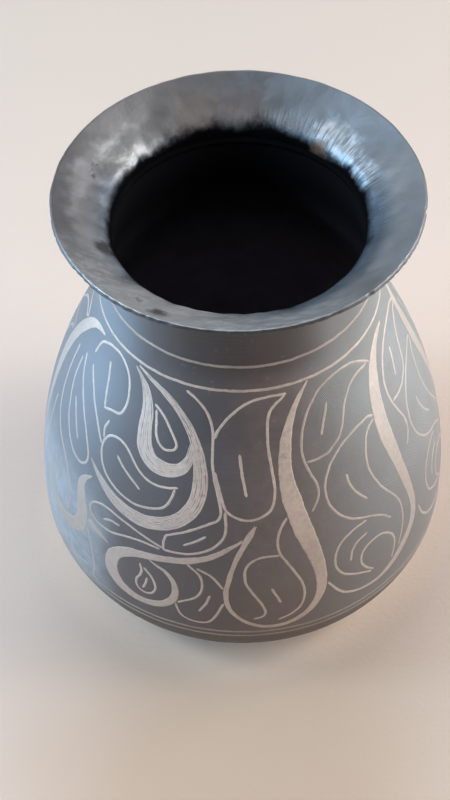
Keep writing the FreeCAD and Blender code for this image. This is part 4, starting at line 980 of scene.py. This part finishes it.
BROAD = {
    "flame_arms": [FLAME_ARMS],
    "flame_sweep": [FLAME_SWEEP],
    "snail_band": [SNAIL_BAND, SNAIL_HORN, SNAIL_TAIL],
    "tall_stem_1": [TALL_STEM_1],
    "tall_stem_2": [TALL_STEM_2],
    "tall_stem_3": [TALL_STEM_3],
}

# How a broad stroke is laid: strands, their spread, the share of the width for each, depth of groove.
# The flame's strands lie side by side with hairlines between them, and the others are beaten flush.
SPLIT = {"flame_arms", "flame_sweep"}
SPLIT_LAY = (7, 1.0, 1.03 / 7, 0.9)
FLUSH_LAY = (4, 0.85, 0.36, 0.6)
# A thin line is one wire: its place across the line, its share of the width, depth of groove.
SINGLE = (0.0, 1.0, 0.9)
THIN_RUN_ON = 0.6 * MM
BROAD_RUN_ON = 0.45 * MM
RING_TURNS = 120
SEED_STEP = 0.173
# How far a wire has tarnished.
DULLED = {
    "upper_neck_ring": 1.0, "lower_neck_ring": 0.35, "upper_foot_ring": 1.0, "lower_foot_ring": 1.0,
    "shoulder_leaf_1": 0.6, "waist_leaf_1": 0.35,
}


def stretch(drawn):
    low, high = RING_HEIGHTS["upper_foot_ring"], RING_HEIGHTS["lower_neck_ring"]
    return low + (drawn - DRAWN[0]) / (DRAWN[1] - DRAWN[0]) * (high - low)


def lengthened(points, more):
    # the same line, run on a little at both ends so that it meets its neighbours
    def beyond(end, inner):
        along = (end[0] - inner[0]) * FLAT_RADIUS
        up = end[1] - inner[1]
        share = more / math.hypot(along, up)
        return (end[0] + along * share / FLAT_RADIUS, end[1] + up * share, end[2])

    return [beyond(points[0], points[1]), *points, beyond(points[-1], points[-2])]


def wire_host(name, wires):
    # each wire is (points as (bearing, height, half width), lane from -1 to 1, share, groove)
    rows, edges = [], []
    for points, *strand in wires:
        first = len(rows)
        rows += [(bearing * FLAT_RADIUS, height, half, *strand) for bearing, height, half in points]
        edges += [(i, i + 1) for i in range(first, len(rows) - 1)]
    along, up, half, lane, share, groove = zip(*rows)
    places = [(x, 0.0, z) for x, z in zip(along, up)]
    columns = {"half": half, "lane": lane, "share": share, "groove": groove}
    return drawn_host(name, places, edges, columns)


def lay(node, wires, seed, dulled):
    grow("wire_" + node, wire_host(node + "_drawing", wires), laid_wire, {
        "Step": 0.35 * MM, "Rise": 0.025 * MM, "Sink": 0.08 * MM, "Wander": 0.17 * MM,
        "Sides": 10, "Seed": seed, "Dulled": dulled, "Finish": silver_finish,
    }, [node])


seed = 0.0
for side, turned in (("front", 0.0), ("back", math.pi)):
    for motif in sorted(set(THIN) | set(BROAD)):
        wires = []
        for line in THIN.get(motif, []):
            points = [(math.radians(x) + turned, stretch(y), WIRE_WIDTH / 2) for x, y in line]
            wires.append((lengthened(points, THIN_RUN_ON), *SINGLE))
        strands, spread, share, groove = SPLIT_LAY if motif in SPLIT else FLUSH_LAY
        for stroke in BROAD.get(motif, []):
            points = [(math.radians(x) + turned, stretch(y), w * BROAD_WIDTH / 20) for x, y, w in stroke]
            points = lengthened(points, BROAD_RUN_ON)
            for strand in range(strands):
                lane = (2 * strand + 1) / strands - 1
                wires.append((points, lane * spread, share, groove))
        seed += SEED_STEP
        lay(side + "_" + motif, wires, seed, DULLED.get(motif, 0.0))
for node, height in RING_HEIGHTS.items():
    bearings = [math.pi * (2 * i / RING_TURNS - 1) for i in range(RING_TURNS + 2)]
    points = [(bearing, height, RING_WIDTH / 2) for bearing in bearings]
    seed += SEED_STEP
    lay(node, [(points, *SINGLE)], seed, DULLED[node])

# Pieces that keep the shape they were modelled with.

KEPT = {"base_disc": base_finish, "base_braze": braze_finish, "neck_braze": braze_finish}
for node, finish in KEPT.items():
    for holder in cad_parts[node].material_slots:
        holder.material = finish

# Floor, light and camera.

FLOOR_REACH = 3.0
CAMERA_PLACE = (-0.003526, -0.216078, 0.304788)
CAMERA_TILT = math.radians(50.9)
CAMERA_ROLL = math.radians(1.62)
CAMERA_LENS = 72.0
CAMERA_SENSOR = 36.0


def plain_floor():
    material, tree, place = new_finish("pale_floor")
    x, y, _ = place.split()
    cloud = place.noise(9.0, 3.0) - 0.5
    # painted light: paler near the front, darker towards the back
    base = (y + cloud * 0.05).ease(-0.02, 0.2).mix((0.74, 0.61, 0.535), (0.655, 0.56, 0.495))
    # painted shade under the side lamps, a painted warm shadow in front, and painted warm light close
    # round the foot
    painted_shade_beside_lamps = abs(x).ease(0.2, 0.55) * abs(x).ease(0.72, 0.59)
    base = painted_shade_beside_lamps.mix(base, (0.17, 0.153, 0.14))
    # painted warm shadow in front of the foot
    from_painted_shadow = (x * x + (y + 0.07) * (y + 0.07)).root()
    base = (from_painted_shadow + cloud * 0.04).ease(0.075, 0.02).mix(base, (0.56, 0.42, 0.32))
    # painted warm bounce light close round the foot
    away = (x * x + y * y).root()
    base = (away + cloud * 0.01).ease(0.05, 0.038).mix(base, (0.93, 0.73, 0.59))
    close_finish(tree, {
        "Base Color": base,
        "Roughness": 0.9,
        "Specular IOR Level": 0.0,
        "Normal": bump(tree, place.noise(900.0, 2.0), 0.05 * MM),
    })
    mesh = bpy.data.meshes.new("floor")
    corners = [(x * FLOOR_REACH, y * FLOOR_REACH, 0.0) for x, y in ((-1, -1), (1, -1), (1, 1), (-1, 1))]
    mesh.from_pydata(corners, [], [(0, 1, 2, 3)])
    mesh.materials.append(material)
    floor = shown("floor", mesh)


def soft_light(name, place, aim, wide, tall, radiance, tint):
    lamp = bpy.data.lights.new(name, "AREA")
    lamp.shape = "RECTANGLE"
    lamp.size = wide
    lamp.size_y = tall
    lamp.energy = radiance * math.pi * wide * tall
    lamp.color = tint
    back = (Vector(place) - Vector(aim)).normalized()
    turn = back.to_track_quat("Z", "Y").to_matrix().to_4x4()
    shown(name, lamp).matrix_world = Matrix.Translation(place) @ turn


def pale_room():
    world = bpy.data.worlds.new("pale_room")
    bpy.context.scene.world = world
    world.use_nodes = True
    tree = world.node_tree
    tree.nodes.clear()
    towards = Field.add(tree, "ShaderNodeTexCoord", out="Generated").split()[1]
    wall = towards.ease(-0.7, 0.5).mix((0.15, 0.13, 0.12), (0.36, 0.36, 0.37))
    glow = Field.add(tree, "ShaderNodeBackground", {"Color": wall, "Strength": 1.0})
    Field.add(tree, "ShaderNodeOutputWorld", {"Surface": glow})


def photo_camera():
    back = Vector((0.0, -math.cos(CAMERA_TILT), math.sin(CAMERA_TILT)))
    up = Vector((0.0, math.sin(CAMERA_TILT), math.cos(CAMERA_TILT)))
    right = Vector((1.0, 0.0, 0.0))
    right_turned = right * math.cos(CAMERA_ROLL) - up * math.sin(CAMERA_ROLL)
    up_turned = right * math.sin(CAMERA_ROLL) + up * math.cos(CAMERA_ROLL)
    lens = bpy.data.cameras.new("photo_camera")
    lens.lens = CAMERA_LENS
    lens.sensor_width = CAMERA_SENSOR
    lens.clip_start = 0.01
    camera = shown("photo_camera", lens)
    turn = Matrix((right_turned, up_turned, back)).transposed().to_4x4()
    camera.matrix_world = Matrix.Translation(CAMERA_PLACE) @ turn
    bpy.context.scene.camera = camera


plain_floor()
soft_light("left_panel", (-0.6, 0.0, 0.2), (0, 0, 0.06), 0.6, 0.42, 6.6, (0.48, 0.75, 1.0))
soft_light("right_panel", (0.6, 0.06, 0.22), (0, 0, 0.06), 0.6, 0.42, 6.4, (0.94, 0.98, 1.0))
soft_light("left_window", (-0.5, 0.0, 0.52), (0, 0, 0.09), 0.15, 0.15, 15.0, (0.7, 0.86, 1.0))
soft_light("right_window", (0.51, 0.0, 0.56), (0, 0, 0.09), 0.14, 0.14, 12.0, (1.0, 0.97, 0.94))
soft_light("overhead", (-0.25, 0.3, 0.8), (0, 0, 0.05), 0.9, 0.8, 1.1, (1.0, 0.93, 0.87))
pale_room()
photo_camera()
bpy.context.scene.view_settings.view_transform = "Standard"
